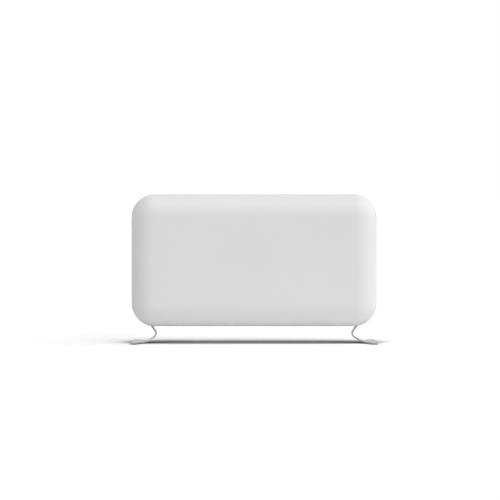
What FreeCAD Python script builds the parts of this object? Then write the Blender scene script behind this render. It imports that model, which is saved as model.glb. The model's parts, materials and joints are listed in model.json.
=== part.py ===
import FreeCAD, Part
import math
import os
from types import SimpleNamespace

import Sketcher
from FreeCAD import Placement, Rotation, Vector

# Driving sizes: lengths in millimetres, angles in degrees
SIZES = {
    # Casing, with its front at -Y and the floor at z = 0
    "case_width": 684.0,
    "case_height": 368.0,
    "under_height": 48.0,
    "front_round": 60.0,
    "corner_extra": 4.0,
    "flat_front": 25.0,
    "seam_y": 31.0,
    "seam_gap": 1.2,
    "rear_rim": 2.8,
    "rear_round": 20.0,
    "wall": 1.0,
    "tongue_depth": 7.0,
    "tongue_wall": 1.2,
    "tongue_clear": 0.2,
    # Air grilles in the top and the underside
    "grille_length": 460.0,
    "grille_width": 32.0,
    "grille_y": -4.0,
    "grille_lip": 4.0,
    "grille_lip_end": 12.0,
    "grille_lip_thick": 1.6,
    "grille_fit": 0.3,
    "grille_end": 12.0,
    "louvre_count": 25,
    "louvre_width": 9.0,
    "louvre_length": 24.0,
    # Feet of bent strip
    "foot_thick": 3.5,
    "foot_end_inset": 1.0,
    "foot_waist_inset": 67.6,
    "foot_waist_rise": 27.0,
    "foot_waist_bend": 12.0,
    "foot_floor_bend": 40.0,
    "foot_tab_bend": 8.0,
    "foot_slope": 31.0,
    "foot_lean": 36.0,
    "foot_neck": 44.0,
    "foot_depth": 190.0,
    "foot_bar": 12.0,
    "foot_flare": 29.0,
    "foot_flare_bend": 40.0,
    "foot_corner": 4.0,
    "foot_tab_height": 42.0,
    "foot_slot_clear": 1.5,
    "glide_thick": 1.2,
    "glide_margin": 2.0,
    "glide_end_margin": 8.0,
    # End plates of the chassis
    "end_space": 41.0,
    "plate_thick": 1.5,
    "plate_rise": 38.0,
    "plate_height": 226.0,
    "plate_front": 64.0,
    "plate_flange": 22.0,
    "window_rise": 96.0,
    "window_height": 34.0,
    "window_width": 18.0,
    "window_setback": 8.0,
    # Heat shields that make the air duct
    "shield_thick": 0.7,
    "front_shield_y": -62.0,
    "rear_shield_y": 15.0,
    "shield_flange": 15.0,
    "shield_rise": 74.0,
    "shield_height": 210.0,
    "shield_screw_low": 28.0,
    "shield_screw_high": 12.0,
    # Heating elements
    "element_y": -23.5,
    "element_low_rise": 100.0,
    "element_high_rise": 172.0,
    "tube_radius": 4.25,
    "tube_stick": 11.0,
    "fin_end_gap": 31.0,
    "fin_span": 64.0,
    "fin_thick": 1.6,
    "fin_hub": 7.0,
    "bush_radius": 9.0,
    "bush_flange": 12.0,
    "bush_flange_thick": 3.0,
    "pin_length": 6.0,
    "pin_radius": 1.6,
    "blade_length": 8.0,
    "blade_width": 6.3,
    "blade_thick": 0.8,
    # Control panel on the back
    "panel_inset": 152.0,
    "panel_drop": 108.0,
    "panel_width": 160.0,
    "panel_height": 92.0,
    "panel_thick": 2.5,
    "panel_corner": 9.0,
    "panel_margin": 5.0,
    "panel_rim_wall": 2.0,
    "panel_rim_depth": 3.0,
    "panel_fit": 0.4,
    "panel_screw_inset": 8.0,
    # Thermostat
    "knob_offset": 38.0,
    "thermostat_side": 34.0,
    "thermostat_depth": 24.0,
    "shaft_radius": 3.0,
    "shaft_length": 34.0,
    "shaft_sunk": 18.0,
    "knob_skirt": 22.0,
    "knob_grip": 17.0,
    "knob_skirt_height": 3.0,
    "knob_height": 16.0,
    "knob_gap": 0.6,
    "knob_flutes": 18,
    "knob_flute_radius": 1.5,
    "knob_edge": 1.2,
    # Rocker switches
    "switch_offset": 18.0,
    "switch_pitch": 28.0,
    "bezel_width": 15.0,
    "bezel_height": 32.0,
    "bezel_thick": 1.5,
    "switch_wall": 1.5,
    "switch_end_wall": 1.6,
    "switch_depth": 20.0,
    "rocker_width": 9.2,
    "rocker_height": 22.6,
    "rocker_side_gap": 0.4,
    "rocker_end_gap": 0.9,
    "rocker_crown": 5.2,
    "rocker_dip": 3.4,
    "rocker_heel": 0.7,
    "rocker_tilt": 8.0,
    "rocker_pivot": 1.0,
    "trunnion_radius": 1.5,
    # Pilot lamp
    "lamp_offset": 68.0,
    "lamp_radius": 4.0,
    "lamp_flange": 5.5,
    "lamp_length": 14.0,
    # Thermal cut-out on the rear heat shield
    "cutout_x": -60.0,
    "cutout_drop": 28.0,
    "cutout_radius": 8.0,
    "cutout_depth": 9.0,
    "cutout_flange": 30.0,
    # Tip-over switch on the left end plate
    "tilt_y": 22.0,
    "tilt_drop": 85.0,
    "tilt_width": 44.0,
    "tilt_height": 60.0,
    "tilt_depth": 16.0,
    "tilt_wall": 1.5,
    "tilt_base": 2.0,
    "tilt_boss": 2.5,
    "tilt_boss_radius": 3.0,
    "tilt_pivot_drop": 10.0,
    "tilt_pin_radius": 1.5,
    "tilt_pin_head": 3.0,
    "tilt_pin_head_thick": 1.5,
    "pendulum_hub": 3.6,
    "pendulum_thick": 6.0,
    "pendulum_arm": 32.0,
    "pendulum_bob": 7.0,
    "pendulum_arm_width": 4.0,
    # Mains entry
    "terminal_width": 44.0,
    "terminal_height": 20.0,
    "terminal_depth": 14.0,
    "terminal_rise": 54.0,
    "terminal_ways": 3,
    "gland_inset": 98.0,
    "gland_rise": 58.0,
    "gland_body": 8.0,
    "gland_bore": 4.0,
    "gland_flange": 11.0,
    "gland_flange_thick": 3.5,
    "gland_nut_thick": 5.0,
    # Wiring
    "lead_radius": 1.4,
    # Fasteners
    "bolt_radius": 2.5,
    "bolt_head_radius": 4.6,
    "bolt_head_height": 3.5,
    "bolt_spacing": 22.0,
    "base_screw_near": 92.0,
    "base_screw_far": 253.0,
    "rear_screw_margin": 27.0,
    "screw_radius": 1.5,
    "screw_head_radius": 3.4,
    "screw_head_height": 1.8,
    "screw_length": 7.0,
    "sink_height": 0.9,
    # Fits
    "hole_clear": 0.2,
    "running_clear": 0.05,
    "part_gap": 0.3,
    "cut_margin": 1.0,
}

doc = FreeCAD.newDocument("ConvectorHeater")
sheet = doc.addObject("Spreadsheet::Sheet", "Sizes")
for row, (alias, number) in enumerate(SIZES.items(), start=1):
    sheet.set(f"A{row}", alias.replace("_", " "))
    sheet.set(f"B{row}", str(number))
    sheet.setAlias(f"B{row}", alias)
doc.recompute()


class Dim:
    """A size that carries its formula on the sheet and its present value."""

    def __init__(self, formula, value):
        self.formula = formula
        self.value = float(value)

    def __add__(self, other):
        other = as_dim(other)
        return Dim(f"({self.formula} + {other.formula})", self.value + other.value)

    def __sub__(self, other):
        other = as_dim(other)
        return Dim(f"({self.formula} - {other.formula})", self.value - other.value)

    def __mul__(self, factor):
        factor = as_dim(factor)
        return Dim(f"({self.formula} * {factor.formula})", self.value * factor.value)

    def __truediv__(self, divisor):
        divisor = as_dim(divisor)
        return Dim(f"({self.formula} / {divisor.formula})", self.value / divisor.value)

    def __neg__(self):
        return Dim(f"(-1 * {self.formula})", -self.value)

    __radd__ = __add__
    __rmul__ = __mul__


def as_dim(number):
    if isinstance(number, Dim):
        return number
    return Dim(f"({float(number)!r})", number)


size = SimpleNamespace(**{alias: Dim(f"Sizes.{alias}", sheet.get(alias)) for alias in SIZES})


def values(*dims):
    return [as_dim(dim).value for dim in dims]


# Planes and centres that several pieces share
half_width = size.case_width / 2
corner_radius = size.front_round + size.corner_extra
case_mid_z = size.under_height + size.case_height / 2
case_top = size.under_height + size.case_height
inner_floor = size.under_height + size.wall
inner_top = case_top - size.wall
front_face = -(size.flat_front + size.front_round)
rear_rim_y = size.seam_y + size.seam_gap
rear_face = rear_rim_y + size.rear_rim + size.rear_round
rear_inner = rear_face - size.wall
plate_x = half_width - size.end_space
plate_inner_x = plate_x - size.plate_thick
plate_low = size.under_height + size.plate_rise
plate_high = plate_low + size.plate_height
shield_low = size.under_height + size.shield_rise
shield_high = shield_low + size.shield_height
element_low_z = size.under_height + size.element_low_rise
element_high_z = size.under_height + size.element_high_rise
tube_end_x = plate_x + size.tube_stick
panel_x = half_width - size.panel_inset
panel_z = case_top - size.panel_drop
panel_outer = rear_face + size.panel_thick
knob_x = panel_x - size.knob_offset
switch_xs = {
    "low": panel_x + size.switch_offset,
    "high": panel_x + size.switch_offset + size.switch_pitch,
}
bezel_outer = panel_outer + size.bezel_thick
window_y = rear_inner - size.plate_thick - size.window_setback - size.window_width / 2
window_z = plate_low + size.window_rise + size.window_height / 2
bolt_reach = size.bolt_spacing / 2
foot_bolt_z = plate_low + size.foot_tab_height / 2
shield_screw_zs = (
    plate_low + size.foot_tab_height + size.shield_screw_low,
    plate_high - size.shield_screw_high,
)

nodes = {}


def node(label, piece):
    """Name a finished piece, so that it is checked and written."""
    piece.Label = label
    nodes[label] = piece
    return piece


def bind(target, prop, dim):
    target.setExpression(prop, as_dim(dim).formula)


def place(target, x, y, z):
    for axis, dim in zip("xyz", (x, y, z)):
        bind(target, f"Placement.Base.{axis}", dim)


AXIS_TURN = {
    "x": Rotation(Vector(0, 1, 0), 90),
    "y": Rotation(Vector(1, 0, 0), -90),
    "z": Rotation(),
}


def box(name, x_span, y_span, z_span):
    block = doc.addObject("Part::Box", name)
    lows = []
    for prop, (low, high) in zip(("Length", "Width", "Height"), (x_span, y_span, z_span)):
        bind(block, prop, as_dim(high) - low)
        lows.append(low)
    place(block, *lows)
    return block


def centred(middle, width):
    half = as_dim(width) / 2
    return (as_dim(middle) - half, as_dim(middle) + half)


def along(target, axis, span, across):
    """Set a bar's length and put its start on the axis at the two cross coordinates."""
    bind(target, "Height", as_dim(span[1]) - span[0])
    target.Placement = Placement(Vector(), AXIS_TURN[axis])
    start = list(across)
    start.insert("xyz".index(axis), span[0])
    place(target, *start)


def rod(name, axis, radius, span, across):
    bar = doc.addObject("Part::Cylinder", name)
    bind(bar, "Radius", radius)
    along(bar, axis, span, across)
    return bar


def hexagon(name, axis, radius, span, across):
    bar = doc.addObject("Part::Prism", name)
    bar.Polygon = 6
    bind(bar, "Circumradius", radius)
    along(bar, axis, span, across)
    return bar


def group(name, pieces):
    together = doc.addObject("Part::Compound", name)
    together.Links = list(pieces)
    return together


def fuse(name, *pieces):
    joined = doc.addObject("Part::MultiFuse", name)
    joined.Shapes = list(pieces)
    return joined


def cut(name, base, *tools):
    piece = doc.addObject("Part::Cut", name)
    piece.Base = base
    piece.Tool = tools[0] if len(tools) == 1 else group(f"{name}_tools", tools)
    return piece


def mirrored(name, source):
    twin = doc.addObject("Part::Mirroring", name)
    twin.Source = source
    twin.Normal = Vector(1, 0, 0)
    return twin


PLANE_NORMAL = {"XY_Plane": 1, "XZ_Plane": -1, "YZ_Plane": 1}


def origin_part(body, role):
    return next(part for part in body.Origin.OriginFeatures if part.Role == role)


def add_sketch(body, name, role, height):
    """A sketch on one of the body's origin planes, moved to a coordinate along the third axis."""
    sketch = body.newObject("Sketcher::SketchObject", name)
    sketch.AttachmentSupport = [(origin_part(body, role), "")]
    sketch.MapMode = "FlatFace"
    bind(sketch, "AttachmentOffset.Base.z", as_dim(height) * PLANE_NORMAL[role])
    return sketch


def polygon(sketch, points):
    """A closed outline of straight sides, each corner held to its coordinates."""
    corners = [Vector(*values(x, y), 0) for x, y in points]
    for start, end in zip(corners, corners[1:] + corners[:1]):
        sketch.addGeometry(Part.LineSegment(start, end))
    for side, point in enumerate(points):
        following = (side + 1) % len(points)
        sketch.addConstraint(Sketcher.Constraint("Coincident", side, 2, following, 1))
        for kind, dim, axis in zip(("DistanceX", "DistanceY"), point, (-2, -1)):
            if as_dim(dim).value == 0:
                sketch.addConstraint(Sketcher.Constraint("PointOnObject", side, 1, axis))
                continue
            held = Sketcher.Constraint(kind, -1, 1, side, 1, as_dim(dim).value)
            bind(sketch, f"Constraints[{sketch.addConstraint(held)}]", dim)


def rectangle(sketch, x_span, y_span):
    (left, right), (low, high) = x_span, y_span
    polygon(sketch, [(left, low), (right, low), (right, high), (left, high)])


def pad(body, name, sketch, length):
    feature = body.newObject("PartDesign::Pad", name)
    feature.Profile = sketch
    bind(feature, "Length", length)
    doc.recompute()
    return feature


def pocket(body, name, sketch, length):
    feature = body.newObject("PartDesign::Pocket", name)
    feature.Profile = sketch
    bind(feature, "Length", length)
    doc.recompute()
    return feature


def fillet(body, name, base, radius, wanted):
    edges = [f"Edge{i}" for i, edge in enumerate(base.Shape.Edges, start=1) if wanted(edge)]
    feature = body.newObject("PartDesign::Fillet", name)
    feature.Base = (base, edges)
    bind(feature, "Radius", radius)
    doc.recompute()
    return feature


EDGE_TOLERANCE = 1e-4


def runs_along(axis):
    others = [other for other in ("X", "Y", "Z") if other != axis]
    return lambda edge: all(
        getattr(edge.BoundBox, f"{other}Length") < EDGE_TOLERANCE for other in others
    )


def lies_at(axis, dim):
    def test(edge):
        bounds = edge.BoundBox
        return (
            abs(getattr(bounds, f"{axis}Min") - dim.value) < EDGE_TOLERANCE
            and abs(getattr(bounds, f"{axis}Max") - dim.value) < EDGE_TOLERANCE
        )

    return test


def screw(name, axis, way, seat, across, length=size.screw_length):
    """Pan-head screw: head on the seat's outer side, shank the other way."""
    head_span = sorted_span(seat, seat + size.screw_head_height * way)
    shank_span = sorted_span(seat, seat - as_dim(length) * way)
    head = rod(f"{name}_head", axis, size.screw_head_radius, head_span, across)
    shank = rod(f"{name}_shank", axis, size.screw_radius, shank_span, across)
    return fuse(name, head, shank)


def flush_head(name, way, face, across, spare=0):
    """Countersunk head that ends level with a face square to Z."""
    radii = [size.screw_radius + spare, size.screw_head_radius + spare]
    head = doc.addObject("Part::Cone", name)
    for prop, radius in zip(("Radius1", "Radius2"), radii[::way]):
        bind(head, prop, radius)
    along(head, "z", sorted_span(face - size.sink_height * way, face), across)
    return head


def sorted_span(first, second):
    return (first, second) if first.value < second.value else (second, first)


def screw_hole(name, axis, middle, across, radius=size.screw_radius):
    """Clearance hole right through a sheet near the given plane."""
    reach = size.wall + size.cut_margin
    return rod(name, axis, radius + size.hole_clear, (middle - reach, middle + reach), across)


def rounded_path(points, radii):
    """Straight runs joined by tangent arcs, one radius for each inner corner."""
    edges = []
    start = points[0]
    for before, corner, after, radius in zip(points, points[1:], points[2:], radii):
        arriving = (corner - before).normalize()
        leaving = (after - corner).normalize()
        half_turn = arriving.getAngle(leaving) / 2
        setback = radius * math.tan(half_turn)
        arc_start = corner - arriving * setback
        arc_end = corner + leaving * setback
        inward = (leaving - arriving).normalize()
        arc_middle = corner + inward * (radius / math.cos(half_turn) - radius)
        edges.append(Part.LineSegment(start, arc_start).toShape())
        edges.append(Part.Arc(arc_start, arc_middle, arc_end).toShape())
        start = arc_end
    edges.append(Part.LineSegment(start, points[-1]).toShape())
    return Part.Wire(edges)


# Casing
def outline_block(name, inset, y_span, edge_radius=None, edge_y=None):
    """Solid with the casing's rounded outline, inset all round, with one end's edge rounded."""
    low, high = y_span
    body = doc.addObject("PartDesign::Body", name)
    sketch = add_sketch(body, f"{name}_outline", "XZ_Plane", high)
    inset = as_dim(inset)
    rectangle(
        sketch,
        centred(0, size.case_width - inset * 2),
        centred(case_mid_z, size.case_height - inset * 2),
    )
    block = pad(body, f"{name}_block", sketch, high - low)
    block = fillet(body, f"{name}_corners", block, corner_radius - inset, runs_along("Y"))
    if edge_radius is not None:
        fillet(body, f"{name}_edge", block, edge_radius, lies_at("Y", edge_y))
    return body


def grille_opening(name, wall_z):
    reach = size.wall / 2 + size.cut_margin
    return box(
        name,
        centred(0, size.grille_length),
        centred(size.grille_y, size.grille_width),
        (wall_z - reach, wall_z + reach),
    )


base_screw_xs = [
    -size.base_screw_far,
    -size.base_screw_near,
    size.base_screw_near,
    size.base_screw_far,
]
base_screw_y = size.seam_y - size.tongue_depth / 2


def foot_slot_x(z):
    """Where the foot's leaning neck is at a height."""
    lean = math.radians(size.foot_lean.value)
    bend = size.foot_waist_bend
    start_x = half_width - size.foot_waist_inset + bend * (1 - math.cos(lean))
    start_z = size.foot_waist_rise + bend * math.sin(lean)
    return start_x + (z - start_z) * math.tan(lean)


def foot_slots():
    lean = math.radians(size.foot_lean.value)
    spare = size.foot_thick / (2 * math.cos(lean)) + size.foot_slot_clear
    corner_rise = size.wall * 2
    right = (
        foot_slot_x(size.under_height) - spare,
        foot_slot_x(inner_floor + size.wall) + spare,
    )
    y_span = centred(0, size.foot_neck + size.foot_slot_clear * 2)
    z_span = (size.under_height - size.cut_margin, inner_floor + corner_rise)
    return [
        box("foot_slot_right", right, y_span, z_span),
        box("foot_slot_left", (-right[1], -right[0]), y_span, z_span),
    ]


def make_front_shell():
    outer = outline_block(
        "front_outer", 0, (front_face, size.seam_y), size.front_round, front_face
    )
    inner_face = front_face + size.wall
    inner = outline_block(
        "front_inner",
        size.wall,
        (inner_face, size.seam_y + size.cut_margin),
        size.front_round - size.wall,
        inner_face,
    )
    holes = [
        screw_hole(f"base_hole_{i}", "z", inner_floor, (x, base_screw_y))
        for i, x in enumerate(base_screw_xs)
    ]
    for i, (x, seat, way) in enumerate(grille_screw_places()):
        across = (x, size.grille_y)
        holes.append(screw_hole(f"grille_hole_{i}", "z", seat, across))
        holes.append(flush_head(f"grille_sink_{i}", way, seat, across, size.hole_clear))
    node(
        "front_shell",
        cut(
            "front_cut",
            outer,
            inner,
            grille_opening("outlet_opening", case_top - size.wall / 2),
            grille_opening("intake_opening", size.under_height + size.wall / 2),
            *foot_slots(),
            *holes,
        ),
    )


rear_screw_x = plate_x - size.plate_flange / 2
rear_screw_zs = [
    plate_low + size.rear_screw_margin,
    plate_low + size.plate_height / 2,
    plate_high - size.rear_screw_margin,
]


def rear_screw_places():
    return [(rear_screw_x * side, z) for side in (-1, 1) for z in rear_screw_zs]


def panel_screw_places():
    reach_x = size.panel_width / 2 - size.panel_screw_inset
    reach_z = size.panel_height / 2 - size.panel_screw_inset
    return [
        (panel_x + reach_x * across, panel_z + reach_z * up)
        for across in (-1, 1)
        for up in (-1, 1)
    ]


def panel_opening_spans():
    margin = (size.panel_screw_inset + size.panel_margin) * 2
    return (
        centred(panel_x, size.panel_width - margin),
        centred(panel_z, size.panel_height - margin),
    )


gland_x = half_width - size.gland_inset
gland_z = size.under_height + size.gland_rise


def make_rear_cover():
    outer = outline_block("rear_outer", 0, (rear_rim_y, rear_face), size.rear_round, rear_face)
    inner = outline_block(
        "rear_hollow",
        size.wall,
        (rear_rim_y - size.cut_margin, rear_inner),
        size.rear_round - size.wall,
        rear_inner,
    )
    step_end = rear_rim_y + size.wall
    tongue_start = size.seam_y - size.tongue_depth
    tongue_inset = size.wall + size.tongue_clear
    bore_inset = tongue_inset + size.tongue_wall
    step = outline_block("rim_step", size.wall / 2, (rear_rim_y, step_end))
    tongue = outline_block("tongue_outer", tongue_inset, (tongue_start, step_end))
    bore = outline_block(
        "tongue_bore",
        bore_inset,
        (tongue_start - size.cut_margin, step_end + size.cut_margin),
    )
    rim = cut("rim_ring", fuse("rim_solid", step, tongue), bore)
    shell = fuse("rear_shell", cut("rear_dish", outer, inner), rim)
    panel_x_span, panel_z_span = panel_opening_spans()
    reach = size.wall + size.cut_margin
    opening = box(
        "panel_opening", panel_x_span, (rear_face - reach, rear_face + reach), panel_z_span
    )
    gland_hole = screw_hole("gland_hole", "y", rear_face, (gland_x, gland_z), size.gland_body)
    holes = [
        screw_hole(f"rear_hole_{i}", "y", rear_face, place_xz)
        for i, place_xz in enumerate(rear_screw_places() + panel_screw_places())
    ]
    holes += [
        screw_hole(f"tongue_hole_{i}", "z", inner_floor + size.wall, (x, base_screw_y))
        for i, x in enumerate(base_screw_xs)
    ]
    node("rear_cover", cut("rear_cut", shell, opening, gland_hole, *holes))


def make_casing_screws():
    base = [
        screw(f"base_screw_{i}", "z", -1, size.under_height, (x, base_screw_y))
        for i, x in enumerate(base_screw_xs)
    ]
    node("base_screws", group("base_screw_set", base))
    rear = [
        screw(f"rear_screw_{i}", "y", 1, rear_face, place_xz)
        for i, place_xz in enumerate(rear_screw_places())
    ]
    node("rear_screws", group("rear_screw_set", rear))


# Air grilles
def grille_screw_places():
    """Across, outer face and outward way of each screw at the ends of the grilles."""
    x = (size.grille_length + size.grille_lip_end) / 2
    faces = ((case_top, 1), (size.under_height, -1))
    return [(x * side, face, way) for side in (-1, 1) for face, way in faces]


def make_grille(label, lip_span, boss_span, outward):
    body = doc.addObject("PartDesign::Body", f"{label}_body")
    lip_sketch = add_sketch(body, f"{label}_lip_outline", "XY_Plane", lip_span[0])
    rectangle(
        lip_sketch,
        centred(0, size.grille_length + size.grille_lip_end * 2),
        centred(size.grille_y, size.grille_width + size.grille_lip * 2),
    )
    pad(body, f"{label}_lip", lip_sketch, lip_span[1] - lip_span[0])
    fit = size.grille_fit * 2
    boss_sketch = add_sketch(body, f"{label}_boss_outline", "XY_Plane", boss_span[0])
    rectangle(
        boss_sketch,
        centred(0, size.grille_length - fit),
        centred(size.grille_y, size.grille_width - fit),
    )
    pad(body, f"{label}_boss", boss_sketch, boss_span[1] - boss_span[0])
    louvre_run = size.grille_length - size.grille_end * 2
    pitch = louvre_run / size.louvre_count
    top = max(lip_span[1], boss_span[1], key=lambda dim: dim.value) + size.cut_margin
    louvre_sketch = add_sketch(body, f"{label}_louvre_outline", "XY_Plane", top)
    first_x = (pitch - louvre_run) / 2
    rectangle(
        louvre_sketch,
        centred(first_x, size.louvre_width),
        centred(size.grille_y, size.louvre_length),
    )
    depth = size.grille_lip_thick + size.wall + size.cut_margin * 2
    louvre = pocket(body, f"{label}_louvre", louvre_sketch, depth)
    pattern = body.newObject("PartDesign::LinearPattern", f"{label}_louvres")
    pattern.Originals = [louvre]
    pattern.Direction = (louvre_sketch, ["H_Axis"])
    bind(pattern, "Length", louvre_run - pitch)
    bind(pattern, "Occurrences", size.louvre_count)
    body.Tip = pattern
    doc.recompute()
    holes = [
        screw_hole(f"{label}_hole_{i}", "z", lip_span[0], (x, size.grille_y))
        for i, (x, face, way) in enumerate(grille_screw_places())
        if way == outward
    ]
    node(label, cut(f"{label}_cut", body, *holes))


def make_grilles():
    lip = size.grille_lip_thick
    make_grille("outlet_grille", (inner_top - lip, inner_top), (inner_top, case_top), 1)
    make_grille(
        "intake_grille",
        (inner_floor, inner_floor + lip),
        (size.under_height, inner_floor),
        -1,
    )
    screws = []
    for i, (x, face, way) in enumerate(grille_screw_places()):
        across = (x, size.grille_y)
        head = flush_head(f"grille_screw_head_{i}", way, face, across)
        neck = face - size.sink_height * way
        span = sorted_span(neck, face - size.screw_length * way)
        shank = rod(f"grille_screw_shank_{i}", "z", size.screw_radius, span, across)
        screws.append(fuse(f"grille_screw_{i}", head, shank))
    node("grille_screws", group("grille_screw_set", screws))


# Feet
def meet(point, direction, other_point, other_direction):
    """Where two lines in the XZ plane cross."""
    gap = other_point - point
    turn = direction.x * other_direction.z - direction.z * other_direction.x
    run = (gap.x * other_direction.z - gap.z * other_direction.x) / turn
    return point + direction * run


def foot_corners():
    """Corners of the right foot's centre line, from the outer end to the top of the tab."""
    slope, lean = (math.radians(angle) for angle in values(size.foot_slope, size.foot_lean))
    floor_z = (size.glide_thick + size.foot_thick / 2).value
    bend = size.foot_waist_bend.value
    centre_x = (half_width - size.foot_waist_inset).value + bend
    centre = Vector(centre_x, 0, size.foot_waist_rise.value)
    slope_way = Vector(-math.cos(slope), 0, math.sin(slope))
    lean_way = Vector(math.sin(lean), 0, math.cos(lean))
    slope_point = centre + Vector(-math.sin(slope), 0, -math.cos(slope)) * bend
    lean_point = centre + Vector(-math.cos(lean), 0, math.sin(lean)) * bend
    outer_end = Vector((half_width - size.foot_end_inset).value, 0, floor_z)
    tab_x = (plate_x + size.foot_thick / 2).value
    tab_top = Vector(tab_x, 0, (plate_low + size.foot_tab_height).value)
    return [
        outer_end,
        meet(outer_end, Vector(-1, 0, 0), slope_point, slope_way),
        meet(slope_point, slope_way, lean_point, lean_way),
        meet(lean_point, lean_way, tab_top, Vector(0, 0, -1)),
        tab_top,
    ]


def make_foot_strip():
    """Bent strip at the full pad depth, cut to its plan later."""
    corners = foot_corners()
    radii = values(size.foot_floor_bend, size.foot_waist_bend, size.foot_tab_bend)
    path = rounded_path(corners, radii)
    half_depth, half_thick = values(size.foot_depth / 2, size.foot_thick / 2)
    start = corners[0]
    section = Part.makePolygon(
        [
            start + Vector(0, y, z)
            for y, z in (
                (-half_depth, -half_thick),
                (half_depth, -half_thick),
                (half_depth, half_thick),
                (-half_depth, half_thick),
                (-half_depth, -half_thick),
            )
        ]
    )
    strip = doc.addObject("Part::Feature", "foot_strip")
    strip.Shape = path.makePipeShell([section], True, False)
    strip.Placement = Placement()
    return strip


def make_foot_plan():
    """Plan of the foot: a straight neck that flares to a wide bar."""
    body = doc.addObject("PartDesign::Body", "foot_plan")
    sketch = add_sketch(body, "foot_plan_outline", "XY_Plane", -size.cut_margin)
    outer = half_width - size.foot_end_inset
    bar = outer - size.foot_bar
    neck_end = bar - size.foot_flare
    neck_start = half_width - size.foot_waist_inset * 2
    neck, wide = size.foot_neck / 2, size.foot_depth / 2
    outline = [
        (neck_start, -neck),
        (neck_end, -neck),
        (bar, -wide),
        (outer, -wide),
        (outer, wide),
        (bar, wide),
        (neck_end, neck),
        (neck_start, neck),
    ]
    polygon(sketch, outline)
    block = pad(body, "foot_plan_block", sketch, size.foot_waist_rise + size.cut_margin)

    def upright_at(*places):
        def test(edge):
            point = edge.BoundBox.Center
            return runs_along("Z")(edge) and any(
                abs(point.x - x.value) < EDGE_TOLERANCE and abs(abs(point.y) - y.value) < EDGE_TOLERANCE
                for x, y in places
            )

        return test

    block = fillet(
        body, "foot_flare_bends", block, size.foot_flare_bend, upright_at((neck_end, neck))
    )
    outer_corners = upright_at((bar, wide), (outer, wide))
    fillet(body, "foot_bar_corners", block, size.foot_corner, outer_corners)
    return body


def make_feet():
    neck = box(
        "foot_neck_block",
        (half_width - size.foot_waist_inset * 2, half_width),
        centred(0, size.foot_neck),
        (size.foot_waist_rise, plate_low + size.foot_tab_height + size.cut_margin),
    )
    shaped = doc.addObject("Part::Common", "foot_shape")
    shaped.Base = make_foot_strip()
    shaped.Tool = fuse("foot_envelope", make_foot_plan(), neck)
    span = (plate_x - size.cut_margin, plate_x + size.foot_thick + size.cut_margin)
    holes = [
        rod(f"foot_hole_{i}", "x", size.bolt_radius + size.hole_clear, span, (y, foot_bolt_z))
        for i, y in enumerate((-bolt_reach, bolt_reach))
    ]
    right = node("foot_right", cut("foot_cut", shaped, *holes))
    node("foot_left", mirrored("foot_mirror", right))
    bar_end = half_width - size.foot_end_inset
    glide = node(
        "glide_right",
        box(
            "glide_strip",
            (bar_end - size.foot_bar + size.glide_margin, bar_end - size.glide_margin),
            centred(0, size.foot_depth - size.glide_end_margin * 2),
            (0, size.glide_thick),
        ),
    )
    node("glide_left", mirrored("glide_mirror", glide))


def make_foot_fasteners():
    head_seat = plate_x + size.foot_thick
    nut_high = plate_inner_x
    nut_low = nut_high - size.bolt_head_height
    bolts = []
    nuts = []
    for side, y in enumerate((-bolt_reach, bolt_reach)):
        across = (y, foot_bolt_z)
        head_span = (head_seat, head_seat + size.bolt_head_height)
        head = hexagon(f"bolt_head_{side}", "x", size.bolt_head_radius, head_span, across)
        shank_span = (nut_low - size.cut_margin, head_seat)
        shank = rod(f"bolt_shank_{side}", "x", size.bolt_radius, shank_span, across)
        bolts.append(fuse(f"bolt_{side}", head, shank))
        block = hexagon(f"nut_block_{side}", "x", size.bolt_head_radius, (nut_low, nut_high), across)
        thread_span = (nut_low - size.cut_margin, nut_high + size.cut_margin)
        thread_radius = size.bolt_radius + size.running_clear
        thread = rod(f"nut_thread_{side}", "x", thread_radius, thread_span, across)
        nuts.append(cut(f"nut_{side}", block, thread))
    for label, pieces in (("foot_bolts", bolts), ("foot_nuts", nuts)):
        twins = [mirrored(f"{piece.Name}_twin", piece) for piece in pieces]
        node(label, group(f"{label}_set", pieces + twins))


# Chassis and air duct
def shield_screw_ys():
    front = size.front_shield_y + size.shield_flange / 2
    rear = size.rear_shield_y - size.shield_flange / 2
    return (front, rear)


def make_end_plates():
    body = doc.addObject("PartDesign::Body", "end_plate_body")
    sketch = add_sketch(body, "end_plate_profile", "XY_Plane", plate_low)
    front, rear = -size.plate_front, rear_inner
    flange_x = plate_x - size.plate_flange
    polygon(
        sketch,
        [
            (plate_inner_x, front),
            (plate_x, front),
            (plate_x, rear),
            (flange_x, rear),
            (flange_x, rear - size.plate_thick),
            (plate_inner_x, rear - size.plate_thick),
        ],
    )
    pad(body, "end_plate_sheet", sketch, size.plate_height)
    holes = [
        screw_hole(f"plate_bolt_{i}", "x", plate_x, (y, foot_bolt_z), size.bolt_radius)
        for i, y in enumerate((-bolt_reach, bolt_reach))
    ]
    holes += [
        screw_hole(f"plate_bush_{i}", "x", plate_x, (size.element_y, z), size.bush_radius)
        for i, z in enumerate((element_low_z, element_high_z))
    ]
    holes += [
        screw_hole(f"plate_screw_{i}_{j}", "x", plate_x, (y, z))
        for i, y in enumerate(shield_screw_ys())
        for j, z in enumerate(shield_screw_zs)
    ]
    holes += [
        screw_hole(f"flange_screw_{i}", "y", rear_inner, (rear_screw_x, z))
        for i, z in enumerate(rear_screw_zs)
    ]
    reach = size.wall + size.cut_margin
    holes.append(
        box(
            "lead_window",
            (plate_x - reach, plate_x + reach),
            centred(window_y, size.window_width),
            centred(window_z, size.window_height),
        )
    )
    right = node("end_plate_right", cut("end_plate_cut", body, *holes))
    node("end_plate_left", mirrored("end_plate_mirror", right))


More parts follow.
